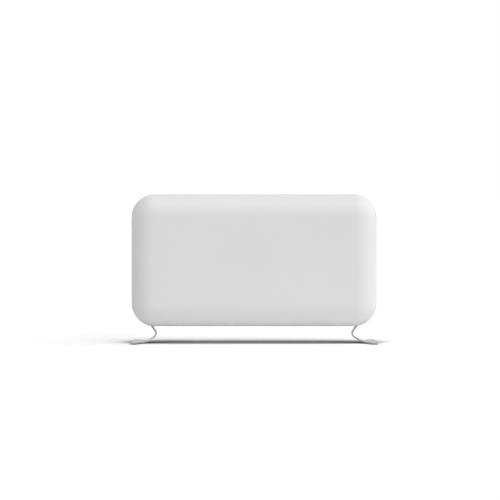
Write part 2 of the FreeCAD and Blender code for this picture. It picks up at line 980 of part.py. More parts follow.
def make_heat_shield(label, sheet_y, inward):
    """Sheet between the end plates, with a side flange turned into the duct at each end."""
    body = doc.addObject("PartDesign::Body", f"{label}_body")
    sketch = add_sketch(body, f"{label}_profile", "XY_Plane", shield_low)
    reach = plate_inner_x
    inner = reach - size.shield_thick
    face = sheet_y + size.shield_thick * inward
    edge = sheet_y + size.shield_flange * inward
    polygon(
        sketch,
        [
            (-reach, sheet_y),
            (reach, sheet_y),
            (reach, edge),
            (inner, edge),
            (inner, face),
            (-inner, face),
            (-inner, edge),
            (-reach, edge),
        ],
    )
    pad(body, f"{label}_sheet", sketch, size.shield_height)
    screw_y = sheet_y + size.shield_flange / 2 * inward
    holes = [
        screw_hole(f"{label}_hole_{side}_{j}", "x", plate_inner_x * side, (screw_y, z))
        for side in (-1, 1)
        for j, z in enumerate(shield_screw_zs)
    ]
    node(label, cut(f"{label}_cut", body, *holes))


def make_duct():
    make_heat_shield("front_heat_shield", size.front_shield_y, 1)
    make_heat_shield("rear_heat_shield", size.rear_shield_y, -1)
    screws = [
        screw(f"shield_screw_{side}_{i}_{j}", "x", side, plate_x * side, (y, z))
        for side in (-1, 1)
        for i, y in enumerate(shield_screw_ys())
        for j, z in enumerate(shield_screw_zs)
    ]
    node("shield_screws", group("shield_screw_set", screws))


# Heating elements
FIN_TURN = 45


def make_element(level, z):
    across = (size.element_y, z)
    tube = rod(f"tube_{level}", "x", size.tube_radius, (-tube_end_x, tube_end_x), across)
    node(f"heating_tube_{level}", tube)
    reach = plate_x - size.fin_end_gap
    span = (-reach, reach)
    hub = rod(f"fin_hub_{level}", "x", size.fin_hub, span, (0, 0))
    flat = box(f"fin_flat_{level}", span, centred(0, size.fin_span), centred(0, size.fin_thick))
    upright = box(f"fin_upright_{level}", span, centred(0, size.fin_thick), centred(0, size.fin_span))
    bore_span = (-reach - size.cut_margin, reach + size.cut_margin)
    bore_radius = size.tube_radius + size.running_clear
    bore = rod(f"fin_bore_{level}", "x", bore_radius, bore_span, (0, 0))
    fins = cut(f"fins_{level}", fuse(f"fin_cross_{level}", hub, flat, upright), bore)
    fins.Placement = Placement(Vector(), Rotation(Vector(1, 0, 0), FIN_TURN))
    place(fins, 0, *across)
    node(f"element_fins_{level}", fins)


def make_bush(name, side, across):
    """Ceramic bush in the end plate, with its flange on the plate's outer face."""
    seat = plate_x * side
    inner_end = (plate_inner_x - size.bush_flange_thick) * side
    flange_span = sorted_span(seat, seat + size.bush_flange_thick * side)
    flange = rod(f"{name}_flange", "x", size.bush_flange, flange_span, across)
    barrel = rod(f"{name}_barrel", "x", size.bush_radius, sorted_span(inner_end, seat), across)
    bore_span = sorted_span(
        inner_end - size.cut_margin * side,
        seat + (size.bush_flange_thick + size.cut_margin) * side,
    )
    bore = rod(f"{name}_bore", "x", size.tube_radius + size.running_clear, bore_span, across)
    return cut(name, fuse(f"{name}_solid", flange, barrel), bore)


def make_terminal(name, side, across):
    """Pin on the end of the tube, with a flat connector blade."""
    y, z = across
    pin_end = tube_end_x + size.pin_length
    pin = rod(
        f"{name}_pin", "x", size.pin_radius, sorted_span(tube_end_x * side, pin_end * side), across
    )
    blade_start = pin_end - size.pin_length / 2
    blade = box(
        f"{name}_blade",
        sorted_span(blade_start * side, (pin_end + size.blade_length) * side),
        centred(y, size.blade_thick),
        centred(z, size.blade_width),
    )
    return fuse(name, pin, blade)


def make_elements():
    levels = {"lower": element_low_z, "upper": element_high_z}
    bushes = []
    terminals = []
    for level, z in levels.items():
        make_element(level, z)
        for side, hand in ((-1, "left"), (1, "right")):
            across = (size.element_y, z)
            bushes.append(make_bush(f"bush_{level}_{hand}", side, across))
            terminals.append(make_terminal(f"terminal_{level}_{hand}", side, across))
    node("element_bushes", group("bush_set", bushes))
    node("element_terminals", group("terminal_set", terminals))


# Controls on the back
def switch_cutout(name, x, clearance):
    return box(
        name,
        centred(x, switch_body_width() + clearance * 2),
        (rear_face - size.cut_margin, panel_outer + size.cut_margin),
        centred(panel_z, switch_body_height() + clearance * 2),
    )


def switch_body_width():
    return size.rocker_width + size.rocker_side_gap * 2 + size.switch_wall * 2


def switch_body_height():
    return size.rocker_height + size.rocker_end_gap * 2 + size.switch_end_wall * 2


def make_control_panel():
    body = doc.addObject("PartDesign::Body", "panel_body")
    sketch = add_sketch(body, "panel_outline", "XZ_Plane", panel_outer)
    rectangle(sketch, centred(panel_x, size.panel_width), centred(panel_z, size.panel_height))
    plate = pad(body, "panel_plate", sketch, size.panel_thick)
    fillet(body, "panel_corners", plate, size.panel_corner, runs_along("Y"))
    x_span, z_span = panel_opening_spans()
    fit, rim_wall = size.panel_fit, size.panel_rim_wall
    rim_y = (rear_face - size.panel_rim_depth, rear_face)

    def shrunk(span, amount):
        return (span[0] + amount, span[1] - amount)

    rim_outer = box("panel_rim_outer", shrunk(x_span, fit), rim_y, shrunk(z_span, fit))
    rim_inner = box(
        "panel_rim_inner",
        shrunk(x_span, fit + rim_wall),
        (rim_y[0] - size.cut_margin, rim_y[1]),
        shrunk(z_span, fit + rim_wall),
    )
    solid = fuse("panel_solid", body, cut("panel_rim", rim_outer, rim_inner))
    mid_y = panel_outer - size.panel_thick / 2
    holes = [
        screw_hole(f"panel_hole_{i}", "y", mid_y, place_xz)
        for i, place_xz in enumerate(panel_screw_places())
    ]
    shaft_clear = size.shaft_radius + size.part_gap
    holes.append(screw_hole("panel_shaft_hole", "y", mid_y, (knob_x, panel_z), shaft_clear))
    lamp_place = (panel_x + size.lamp_offset - size.panel_screw_inset, panel_z)
    holes.append(screw_hole("panel_lamp_hole", "y", mid_y, lamp_place, size.lamp_radius))
    holes += [
        switch_cutout(f"panel_cutout_{level}", x, size.hole_clear)
        for level, x in switch_xs.items()
    ]
    node("control_panel", cut("panel_cut", solid, *holes))
    screws = [
        screw(f"panel_screw_{i}", "y", 1, panel_outer, place_xz)
        for i, place_xz in enumerate(panel_screw_places())
    ]
    node("panel_screws", group("panel_screw_set", screws))
    stem_span = (panel_outer - size.lamp_length, panel_outer)
    stem = rod("lamp_stem", "y", size.lamp_radius, stem_span, lamp_place)
    flange_span = (panel_outer, panel_outer + size.bezel_thick)
    flange = rod("lamp_collar", "y", size.lamp_flange, flange_span, lamp_place)
    node("pilot_lamp", fuse("lamp_solid", stem, flange))


def make_thermostat():
    across = (knob_x, panel_z)
    case = box(
        "thermostat_case",
        centred(knob_x, size.thermostat_side),
        (rear_face - size.thermostat_depth, rear_face),
        centred(panel_z, size.thermostat_side),
    )
    sunk = rear_face - size.shaft_sunk
    bore_radius = size.shaft_radius + size.running_clear
    bore_span = (sunk - size.part_gap, rear_face + size.cut_margin)
    bore = rod("thermostat_bore", "y", bore_radius, bore_span, across)
    node("thermostat_body", cut("thermostat_cut", case, bore))
    shaft_span = (sunk, sunk + size.shaft_length)
    node("thermostat_shaft", rod("shaft_bar", "y", size.shaft_radius, shaft_span, across))
    make_knob()


def make_knob():
    body = doc.addObject("PartDesign::Body", "knob_body")
    start = panel_outer + size.knob_gap
    skirt_top = start + size.knob_skirt_height
    end = start + size.knob_height
    sketch = add_sketch(body, "knob_profile", "XY_Plane", 0)
    polygon(
        sketch,
        [
            (0, start),
            (size.knob_skirt, start),
            (size.knob_skirt, skirt_top),
            (size.knob_grip, skirt_top),
            (size.knob_grip, end),
            (0, end),
        ],
    )
    turned = body.newObject("PartDesign::Revolution", "knob_turned")
    turned.Profile = sketch
    turned.ReferenceAxis = (sketch, ["V_Axis"])
    turned.Angle = 360
    doc.recompute()
    eased = fillet(body, "knob_eased", turned, size.knob_edge, lies_at("Y", end))
    flute_sketch = add_sketch(body, "knob_flute_outline", "XZ_Plane", end + size.cut_margin)
    flute_sketch.addGeometry(
        Part.Circle(Vector(*values(size.knob_grip, 0), 0), Vector(0, 0, 1), size.knob_flute_radius.value)
    )
    flute_sketch.addConstraint(Sketcher.Constraint("PointOnObject", 0, 3, -1))
    reach = Sketcher.Constraint("DistanceX", -1, 1, 0, 3, size.knob_grip.value)
    bind(flute_sketch, f"Constraints[{flute_sketch.addConstraint(reach)}]", size.knob_grip)
    around = Sketcher.Constraint("Radius", 0, size.knob_flute_radius.value)
    bind(flute_sketch, f"Constraints[{flute_sketch.addConstraint(around)}]", size.knob_flute_radius)
    flute = body.newObject("PartDesign::Pocket", "knob_flute")
    flute.Profile = flute_sketch
    flute.Reversed = True
    bind(flute, "Length", end - skirt_top + size.cut_margin)
    doc.recompute()
    if flute.Shape.Volume >= eased.Shape.Volume:
        flute.Reversed = False
    pattern = body.newObject("PartDesign::PolarPattern", "knob_fluting")
    pattern.Originals = [flute]
    pattern.Axis = (origin_part(body, "Y_Axis"), [""])
    pattern.Angle = 360
    bind(pattern, "Occurrences", size.knob_flutes)
    body.Tip = pattern
    place(body, knob_x, 0, panel_z)
    doc.recompute()
    bore_end = rear_face - size.shaft_sunk + size.shaft_length + size.running_clear
    bore_radius = size.shaft_radius + size.running_clear
    bore = rod(
        "knob_bore", "y", bore_radius, (panel_outer - size.cut_margin, bore_end), (knob_x, panel_z)
    )
    node("thermostat_knob", cut("knob_cut", body, bore))


def make_switch(level, x):
    pivot_y = panel_outer - size.rocker_pivot
    back = bezel_outer - size.switch_depth
    bezel = box(
        f"bezel_{level}",
        centred(x, size.bezel_width),
        (panel_outer, bezel_outer),
        centred(panel_z, size.bezel_height),
    )
    case = box(
        f"switch_case_{level}",
        centred(x, switch_body_width()),
        (back, panel_outer),
        centred(panel_z, switch_body_height()),
    )
    blades = [
        box(
            f"switch_blade_{level}_{i}",
            centred(x, size.blade_width),
            (back - size.blade_length, back),
            centred(panel_z + size.blade_length * offset, size.blade_thick),
        )
        for i, offset in enumerate((-1, 0, 1))
    ]
    well = box(
        f"switch_well_{level}",
        centred(x, size.rocker_width + size.rocker_side_gap * 2),
        (back + size.switch_depth / 2, bezel_outer + size.cut_margin),
        centred(panel_z, size.rocker_height + size.rocker_end_gap * 2),
    )
    trunnion_reach = switch_body_width() - size.switch_wall
    seat = rod(
        f"trunnion_seat_{level}",
        "x",
        size.trunnion_radius + size.running_clear,
        centred(x, trunnion_reach + size.part_gap * 2),
        (pivot_y, panel_z),
    )
    solid = fuse(f"switch_solid_{level}", bezel, case, *blades)
    node(f"switch_body_{level}", cut(f"switch_cut_{level}", solid, well, seat))
    body = doc.addObject("PartDesign::Body", f"rocker_body_{level}")
    half = size.rocker_height / 2
    sketch = add_sketch(body, f"rocker_profile_{level}", "YZ_Plane", -size.rocker_width / 2)
    polygon(
        sketch,
        [
            (-size.rocker_dip, -half / 2),
            (size.rocker_heel, -half),
            (size.rocker_crown, -half),
            (size.rocker_dip, 0),
            (size.rocker_crown, half),
            (size.rocker_heel, half),
            (-size.rocker_dip, half / 2),
        ],
    )
    pad(body, f"rocker_block_{level}", sketch, size.rocker_width)
    body.Placement = Placement(Vector(), Rotation(Vector(1, 0, 0), size.rocker_tilt.value))
    place(body, x, pivot_y, panel_z)
    trunnion = rod(
        f"trunnion_{level}",
        "x",
        size.trunnion_radius,
        centred(x, trunnion_reach),
        (pivot_y, panel_z),
    )
    node(f"rocker_{level}", fuse(f"rocker_solid_{level}", body, trunnion))


# Safety pieces
cutout_z = shield_high - size.cutout_drop


def make_thermal_cutout():
    y = size.rear_shield_y
    across = (size.cutout_x, cutout_z)
    can_end = y + size.cutout_depth
    can = rod("cutout_can", "y", size.cutout_radius, (y, can_end), across)
    flange = box(
        "cutout_flange_sheet",
        centred(size.cutout_x, size.cutout_flange),
        (y, y + size.shield_thick),
        centred(cutout_z, size.cutout_radius * 2),
    )
    blades = [
        box(
            f"cutout_blade_{i}",
            centred(size.cutout_x + size.cutout_radius / 2 * side, size.blade_thick),
            (can_end - size.blade_thick, can_end + size.blade_length),
            centred(cutout_z, size.blade_width),
        )
        for i, side in enumerate((-1, 1))
    ]
    node("thermal_cutout", fuse("cutout_solid", can, flange, *blades))


tilt_mid_z = plate_high - size.tilt_drop + size.tilt_height / 2
tilt_pivot_z = plate_high - size.tilt_drop + size.tilt_height - size.tilt_pivot_drop


def make_tilt_switch():
    """Open tray on the left end plate, with a pendulum on a pin inside it."""
    seat = -plate_x
    outer = seat - size.tilt_depth
    floor = seat - size.tilt_base
    boss_end = floor - size.tilt_boss
    pivot = (size.tilt_y, tilt_pivot_z)
    tray = box(
        "tilt_tray",
        (outer, seat),
        centred(size.tilt_y, size.tilt_width),
        centred(tilt_mid_z, size.tilt_height),
    )
    hollow = box(
        "tilt_hollow",
        (outer - size.cut_margin, floor),
        centred(size.tilt_y, size.tilt_width - size.tilt_wall * 2),
        centred(tilt_mid_z, size.tilt_height - size.tilt_wall * 2),
    )
    pin_radius = size.tilt_pin_radius
    boss = rod("tilt_boss_ring", "x", size.tilt_boss_radius, (boss_end, floor), pivot)
    bore_radius = pin_radius + size.running_clear
    bore = rod("tilt_bore", "x", bore_radius, (boss_end - size.cut_margin, seat), pivot)
    open_tray = fuse("tilt_open", cut("tilt_open_tray", tray, hollow), boss)
    node("tilt_switch_body", cut("tilt_cut", open_tray, bore))
    swing_high = boss_end - size.part_gap
    swing_low = swing_high - size.pendulum_thick
    head_high = swing_low - size.part_gap
    head_span = (head_high - size.tilt_pin_head_thick, head_high)
    head = rod("tilt_pin_cap", "x", size.tilt_pin_head, head_span, pivot)
    shank = rod("tilt_pin_shank", "x", pin_radius, (head_high, seat), pivot)
    node("tilt_pin", fuse("tilt_pin_solid", head, shank))
    swing = (swing_low, swing_high)
    bob_z = tilt_pivot_z - size.pendulum_arm
    hub = rod("pendulum_ring", "x", size.pendulum_hub, swing, pivot)
    bob = rod("pendulum_weight", "x", size.pendulum_bob, swing, (size.tilt_y, bob_z))
    arm = box(
        "pendulum_bar", swing, centred(size.tilt_y, size.pendulum_arm_width), (bob_z, tilt_pivot_z)
    )
    eye_span = (swing_low - size.cut_margin, swing_high + size.cut_margin)
    eye = rod("pendulum_eye", "x", bore_radius, eye_span, pivot)
    node("tilt_pendulum", cut("pendulum_cut", fuse("pendulum_solid", hub, bob, arm), eye))


# Mains entry
terminal_z = size.under_height + size.terminal_rise


def terminal_way_xs():
    """Middle of each way of the terminal block."""
    pitch = size.terminal_width / size.terminal_ways
    first = panel_x - (size.terminal_width - pitch) / 2
    return [first + pitch * way for way in range(round(size.terminal_ways.value))]


CLAMP_SHARES = (0.25, 0.75)


def make_terminal_block():
    """Block on the inside of the back, with a clamp screw above and below in each way."""
    y_span = (rear_inner - size.terminal_depth, rear_inner)
    z_span = (terminal_z, terminal_z + size.terminal_height)
    block = box("terminal_bar", centred(panel_x, size.terminal_width), y_span, z_span)
    reach = size.terminal_depth / 2
    tools = []
    screws = []
    for i, x in enumerate(terminal_way_xs()):
        for j, share in enumerate(CLAMP_SHARES):
            across = (x, terminal_z + size.terminal_height * share)
            hole_radius = size.screw_radius + size.running_clear
            hole_span = (y_span[0] - size.cut_margin, y_span[0] + reach)
            tools.append(rod(f"clamp_hole_{i}_{j}", "y", hole_radius, hole_span, across))
            screw_span = (y_span[0] + size.cut_margin, y_span[0] + reach)
            screws.append(rod(f"clamp_screw_{i}_{j}", "y", size.screw_radius, screw_span, across))
    node("terminal_block", cut("terminal_cut", block, *tools))
    node("terminal_screws", group("clamp_screw_set", screws))


def make_cord_gland():
    across = (gland_x, gland_z)
    flange_end = rear_face + size.gland_flange_thick
    inner_end = rear_inner - size.gland_nut_thick - size.cut_margin
    barrel = rod("gland_barrel", "y", size.gland_body, (inner_end, rear_face), across)
    flange = rod("gland_collar", "y", size.gland_flange, (rear_face, flange_end), across)
    bore_span = (inner_end - size.cut_margin, flange_end + size.cut_margin)
    bore = rod("gland_bore_hole", "y", size.gland_bore, bore_span, across)
    node("cord_gland", cut("gland_cut", fuse("gland_solid", barrel, flange), bore))
    nut_span = (rear_inner - size.gland_nut_thick, rear_inner)
    block = hexagon("gland_nut_block", "y", size.gland_flange, nut_span, across)
    thread_span = (nut_span[0] - size.cut_margin, nut_span[1] + size.cut_margin)
    thread = rod(
        "gland_nut_thread", "y", size.gland_body + size.running_clear, thread_span, across
    )
    node("gland_nut", cut("gland_nut_cut", block, thread))


# Wiring
LEAD_SLACK = 0.45


def make_lead(label, points):
    """Round lead along straight runs, with each bend as large as its runs allow."""
    corners = [Vector(*values(*point)) for point in points]
    radii = []
    for before, corner, after in zip(corners, corners[1:], corners[2:]):
        shorter = min((corner - before).Length, (after - corner).Length)
        half_turn = (corner - before).getAngle(after - corner) / 2
        radii.append(LEAD_SLACK * shorter / math.tan(half_turn))
    path = rounded_path(corners, radii)
    circle = Part.Circle(corners[0], corners[1] - corners[0], size.lead_radius.value)
    section = Part.Wire([circle.toShape()])
    lead = doc.addObject("Part::Feature", f"{label}_run")
    lead.Shape = path.makePipeShell([section], True, False)
    lead.Placement = Placement()
    node(label, lead)


def make_leads():
    blade_half = size.blade_width / 2
    blade_x = tube_end_x + size.pin_length + size.blade_length / 2
    switch_back = bezel_outer - size.switch_depth
    blade_y = switch_back - size.blade_length / 2
    switch_end = panel_z - size.blade_length - size.blade_thick / 2
    routes = {"low": (element_low_z, -8), "high": (element_high_z, 8)}
    for level, (element_z, spread) in routes.items():
        x = switch_xs[level]
        pass_z = window_z + spread
        target_z = element_z + blade_half
        make_lead(
            f"lead_{level}",
            [
                (x, blade_y, switch_end),
                (x, blade_y, switch_end - 22),
                (x + 18, blade_y - 2, pass_z + 28),
                (plate_x - 34, window_y, pass_z + 6),
                (plate_x, window_y, pass_z),
                (blade_x, window_y - 14, pass_z - 6),
                (blade_x, size.element_y + 22, pass_z - 16),
                (blade_x, size.element_y, target_z + 20),
                (blade_x, size.element_y, target_z),
            ],
        )
    make_lead(
        "lead_link",
        [
            (-blade_x, size.element_y, element_low_z + blade_half),
            (-blade_x, size.element_y, element_high_z - blade_half),
        ],
    )
    ways = terminal_way_xs()
    block_top = terminal_z + size.terminal_height
    block_y = rear_inner - size.terminal_depth / 2
    case_low = panel_z - size.thermostat_side / 2
    case_y = rear_face - size.thermostat_depth / 2
    make_lead(
        "lead_supply",
        [
            (ways[0], block_y, block_top),
            (ways[0], block_y, block_top + 40),
            (ways[0] - 12, block_y - 2, block_top + 90),
            (knob_x, case_y, case_low - 40),
            (knob_x, case_y, case_low),
        ],
    )
    can_end = size.rear_shield_y + size.cutout_depth
    can_blade_y = can_end + size.blade_length / 2
    near_x = size.cutout_x + size.cutout_radius / 2
    far_x = size.cutout_x - size.cutout_radius / 2
    cutout_low = cutout_z - blade_half
    make_lead(
        "lead_neutral",
        [
            (near_x, can_blade_y, cutout_low),
            (near_x, can_blade_y, cutout_low - 30),
            (near_x + 24, can_blade_y + 2, cutout_low - 74),
            (near_x + 80, block_y - 12, cutout_low - 110),
            (ways[1] - 40, block_y - 12, block_top + 44),
            (ways[1], block_y, block_top + 26),
            (ways[1], block_y, block_top),
        ],
    )
    high_z = element_high_z + blade_half
    make_lead(
        "lead_return",
        [
            (-blade_x, size.element_y, high_z),
            (-blade_x, size.element_y, high_z + 14),
            (-blade_x, window_y - 30, window_z - 14),
            (-blade_x + 8, window_y - 6, window_z - 4),
            (-plate_x, window_y, window_z),
            (-plate_x + 40, window_y, window_z + 4),
            (far_x - 60, can_blade_y + 6, window_z + 10),
            (far_x, can_blade_y, cutout_low - 24),
            (far_x, can_blade_y, cutout_low),
        ],
    )


make_front_shell()
make_rear_cover()
make_casing_screws()
make_grilles()
make_feet()
make_foot_fasteners()
make_end_plates()
make_duct()
make_elements()
make_control_panel()
make_thermostat()
for switch_level, switch_x in switch_xs.items():
    make_switch(switch_level, switch_x)
make_thermal_cutout()
make_tilt_switch()
make_terminal_block()
make_cord_gland()
make_leads()

doc.recompute()
failed = [
    item.Label for item in doc.Objects if "Invalid" in item.State or "Error" in item.State
]
failed += [
    label for label, piece in nodes.items() if piece.Shape.isNull() or not piece.Shape.isValid()
]
if failed:
    raise RuntimeError("these pieces did not build: " + ", ".join(failed))

os.makedirs("parts", exist_ok=True)
for label, piece in nodes.items():
    piece.Shape.exportStep(f"parts/{label}.step")
    print(label, len(piece.Shape.Solids), round(piece.Shape.Volume, 1))
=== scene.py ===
import functools
import json
import math

import bmesh
import bpy
from bpy.props import FloatProperty, FloatVectorProperty, IntProperty, PointerProperty
from mathutils import Matrix, Vector


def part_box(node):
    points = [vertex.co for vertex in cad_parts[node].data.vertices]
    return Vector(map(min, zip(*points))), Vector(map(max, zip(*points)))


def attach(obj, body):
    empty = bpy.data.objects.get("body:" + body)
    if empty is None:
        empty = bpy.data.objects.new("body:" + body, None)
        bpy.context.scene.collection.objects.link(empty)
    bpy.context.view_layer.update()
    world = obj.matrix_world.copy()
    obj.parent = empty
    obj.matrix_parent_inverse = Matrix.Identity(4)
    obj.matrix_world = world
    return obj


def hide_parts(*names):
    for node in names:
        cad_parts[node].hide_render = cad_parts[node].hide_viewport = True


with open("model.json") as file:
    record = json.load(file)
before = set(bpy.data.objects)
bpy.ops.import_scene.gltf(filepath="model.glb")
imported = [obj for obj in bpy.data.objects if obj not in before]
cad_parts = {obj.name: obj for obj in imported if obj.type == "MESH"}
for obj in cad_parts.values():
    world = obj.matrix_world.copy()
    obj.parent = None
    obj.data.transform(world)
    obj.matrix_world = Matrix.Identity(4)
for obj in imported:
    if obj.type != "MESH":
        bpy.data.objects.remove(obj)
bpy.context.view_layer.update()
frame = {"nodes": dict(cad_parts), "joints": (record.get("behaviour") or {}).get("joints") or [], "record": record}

bl_info = {
    "name": "Convector Heater Dressing",
    "version": (1, 0, 0),
    "blender": (4, 5, 0),
    "location": "View3D > Sidebar > Heater",
    "description": "Builds the visible pieces of a convector heater around its frame",
    "category": "Object",
}

RECORD = frame["record"]
NODE_SLOT = {row["node"]: row["material_slot"] for row in RECORD["subparts"]}
NODE_BODY = {
    node: body for body, members in RECORD["behaviour"]["bodies"].items() for node in members
}
SHELL_LOW, SHELL_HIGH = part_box("front_shell")
COVER_LOW, COVER_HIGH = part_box("rear_cover")
PANEL_LOW, PANEL_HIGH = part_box("control_panel")
UP = Vector((0.0, 0.0, 1.0))
DOWN = Vector((0.0, 0.0, -1.0))
BACK = Vector((0.0, 1.0, 0.0))


# Settings
def length(name, text, default):
    return FloatProperty(name=name, description=text, default=default, unit="LENGTH", precision=5)


def angle(name, text, degrees):
    return FloatProperty(name=name, description=text, default=math.radians(degrees), subtype="ANGLE")


def level(name, text, default, unit="NONE"):
    return FloatProperty(name=name, description=text, default=default, unit=unit)


def portion(name, text, default):
    return FloatProperty(
        name=name, description=text, default=default, subtype="FACTOR", min=0.0, soft_max=2.0
    )


def count(name, text, default):
    return IntProperty(name=name, description=text, default=default, min=1)


def vector(name, text, default, subtype="DIRECTION"):
    return FloatVectorProperty(name=name, description=text, default=default, subtype=subtype)


def colour(name, text, default):
    return FloatVectorProperty(
        name=name, description=text, default=default, subtype="COLOR", min=0.0, max=1.0
    )


class HEATER_PG_casing(bpy.types.PropertyGroup):
    """Sizes and paint of the two casing shells."""

    front_round: length("Front Rounding", "Radius of the edge round the front", 0.060)
    rear_round: length("Rear Rounding", "Radius of the edge round the back", 0.020)
    corner: length("Corner Radius", "Radius of the outline's corners", 0.064)
    wall: length("Wall", "Thickness of the sheet", 0.001)
    seam: length("Seam", "Gap between the two shells", 0.0012)
    tongue_inset: length("Tongue Inset", "Depth of the tongue behind the outer face", 0.0012)
    tongue_wall: length("Tongue Wall", "Thickness of the tongue", 0.0012)
    edge: length("Edge", "Rounding of cut edges", 0.0003)
    paint: colour("Paint", "Colour of the powder coat", (0.7, 0.7, 0.698))


class HEATER_PG_grille(bpy.types.PropertyGroup):
    """Sizes of the slotted air grilles."""

    opening_length: length("Opening Length", "Length of the opening in the casing", 0.460)
    opening_width: length("Opening Width", "Width of the opening in the casing", 0.032)
    fit: length("Fit", "Gap round the grille in its opening", 0.0003)
    slots: count("Slots", "Number of air slots", 25)
    slot_width: length("Slot Width", "Width of each air slot", 0.009)
    slot_length: length("Slot Length", "Length of each air slot", 0.024)
    slot_corner: length("Slot Corner", "Corner radius of each air slot", 0.002)
    end_margin: length("End Margin", "Plain stretch at each end of the row of slots", 0.012)
    edge: length("Edge", "Rounding of the slots' edges", 0.0004)


class HEATER_PG_foot(bpy.types.PropertyGroup):
    """Sizes and metal of the bent strip feet."""

    thick: length("Thickness", "Thickness of the strip", 0.0035)
    waist_inset: length("Waist Inset", "From the casing's side to the waist's middle line", 0.0676)
    waist_rise: length("Waist Rise", "Height of the waist", 0.027)
    waist_bend: length("Waist Bend", "Radius of the bend at the waist", 0.012)
    floor_bend: length("Floor Bend", "Radius of the bend above the pad", 0.040)
    tab_bend: length("Tab Bend", "Radius of the bend below the tab", 0.008)
    slope: angle("Slope", "Rise of the strip from the pad to the waist", 31)
    lean: angle("Lean", "Lean of the neck from the upright", 36)
    neck: length("Neck", "Width of the neck", 0.044)
    bar: length("Bar", "Straight ends of the pad", 0.012)
    flare: length("Flare", "Run over which the neck widens to the pad", 0.029)
    flare_bend: length("Flare Bend", "Radius where the neck widens", 0.040)
    corner: length("Corner", "Corner radius of the pad", 0.004)
    slot_fit: length("Slot Fit", "Gap round the neck where it enters the casing", 0.0015)
    bolt_hole: length("Bolt Hole", "Radius of the bolt holes in the tab", 0.0027)
    edge: length("Edge", "Rounding of the strip's edges", 0.0005)
    metal: colour("Metal", "Colour of the bright aluminium", (0.3, 0.3, 0.305))


class HEATER_PG_panel(bpy.types.PropertyGroup):
    """Sizes of the control plate and its printed marks."""

    lap: length("Lap", "How far the plate laps over its opening", 0.013)
    plate_edge: length("Plate Edge", "Rounding of the plate's edges", 0.0008)
    edge: length("Edge", "Rounding of the switches' edges", 0.0005)
    ink: length("Ink", "Thickness of the printed marks", 0.00006)
    highest: count("Highest", "Last number on the dial", 6)
    ticks: count("Ticks", "Ticks from one number to the next", 4)
    tick_gap: length("Tick Gap", "From the knob's skirt to the ticks", 0.0018)
    tick_length: length("Tick Length", "Length of a short tick", 0.0022)
    tick_width: length("Tick Width", "Width of a short tick", 0.00045)
    number_gap: length("Number Gap", "From the knob's skirt to the numbers", 0.0088)
    number_height: length("Number Height", "Height of the numbers on the dial", 0.0058)
    switch_gap: length("Switch Gap", "From a switch to its number", 0.006)
    switch_height: length("Switch Height", "Height of the numbers over the switches", 0.0062)
    rocker_height: length("Rocker Height", "Height of the marks on the rockers", 0.0044)


class HEATER_PG_knob(bpy.types.PropertyGroup):
    """Sizes of the thermostat knob."""

    skirt: length("Skirt", "Radius of the skirt", 0.022)
    skirt_height: length("Skirt Height", "Height of the skirt", 0.003)
    grip: length("Grip", "Radius of the grip", 0.017)
    flutes: count("Flutes", "Finger flutes round the grip", 18)
    flute_radius: length("Flute Radius", "Radius of each flute", 0.0015)
    edge: length("Edge", "Rounding of the grip's top edge", 0.0012)
    ease: length("Ease", "Rounding of the skirt's edges", 0.0005)
    dish: length("Dish", "Depth of the hollow in the face", 0.0004)
    fit: length("Fit", "Gap round the shaft", 0.00005)
    pointer_half: length("Pointer Half", "Half the width of the pointer", 0.0008)
    pointer_rise: length("Pointer Rise", "Rise of the pointer above the hollow", 0.0003)


class HEATER_PG_rocker(bpy.types.PropertyGroup):
    """Sizes of the rockers, from their pivots."""

    tilt: angle("Tilt", "Lean of a rocker at rest", 8)
    reach: length("Reach", "Pivot to the ends of a rocker", 0.0113)
    half_width: length("Half Width", "Pivot to the sides of a rocker", 0.0046)
    dip: length("Dip", "Pivot to the middle of the face", 0.0034)
    crown: length("Crown", "Pivot to the ends of the face", 0.0052)
    heel: length("Heel", "Pivot to the lower edge of an end", 0.0007)
    pivot: length("Pivot", "Depth of the pivot below the panel", 0.001)


class HEATER_PG_gland(bpy.types.PropertyGroup):
    """Sizes of the cord gland."""

    barrel: length("Barrel", "Radius of the barrel through the cover", 0.008)
    bore: length("Bore", "Radius of the bore", 0.004)
    fit: length("Fit", "Gap round the barrel in the cover", 0.0002)
    edge: length("Edge", "Rounding of the flange and the bore", 0.001)
    ribs: count("Ribs", "Ribs round the flange", 24)
    groove: length("Groove", "Depth of the grooves between the ribs", 0.0005)


class HEATER_PG_lamp(bpy.types.PropertyGroup):
    """Sizes of the pilot lamp."""

    flange: length("Flange", "Width of the flange round the stem", 0.0015)
    flange_share: portion("Flange Share", "Height of the flange, as a share of the lamp's rise", 0.6)
    ease_share: portion("Ease Share", "Rounding of the flange, as a share of the lamp's rise", 0.35)
    lens_step: length("Lens Step", "How far the lens stands out past the stem", 0.0004)
    lens_share: portion("Lens Share", "Height of the lens's foot, as a share of the lamp's rise", 0.5)
    groove: length("Groove", "Width of the groove round the lens", 0.0001)
    tip: length("Tip", "Radius of the flat on top of the lens", 0.00004)


class HEATER_PG_fasteners(bpy.types.PropertyGroup):
    """Sizes of the screws."""

    head_radius: length("Head Radius", "Radius of a screw head", 0.0034)
    head_height: length("Head Height", "Height of a pan head", 0.0018)
    crown: portion("Crown", "Fall of a pan head to its rim, as a share of its height", 0.5)
    shank_radius: length("Shank Radius", "Radius of a screw shank", 0.0015)
    shank_length: length("Shank Length", "Length of a screw shank", 0.007)
    sink: length("Sink", "Depth of a countersunk head", 0.0009)
    sink_foot: portion("Sink Foot", "Narrow end of a countersunk head, as a share of the shank", 1.1)
    recess: length("Recess", "Length of the cross recess", 0.0034)
    recess_width: length("Recess Width", "Width of the cross recess", 0.0008)
    shank_hole: portion("Shank Hole", "Hole for a shank, as a share of the shank", 1.15)
    head_hole: portion("Head Hole", "Hole for a sunk head, as a share of the head", 1.05)


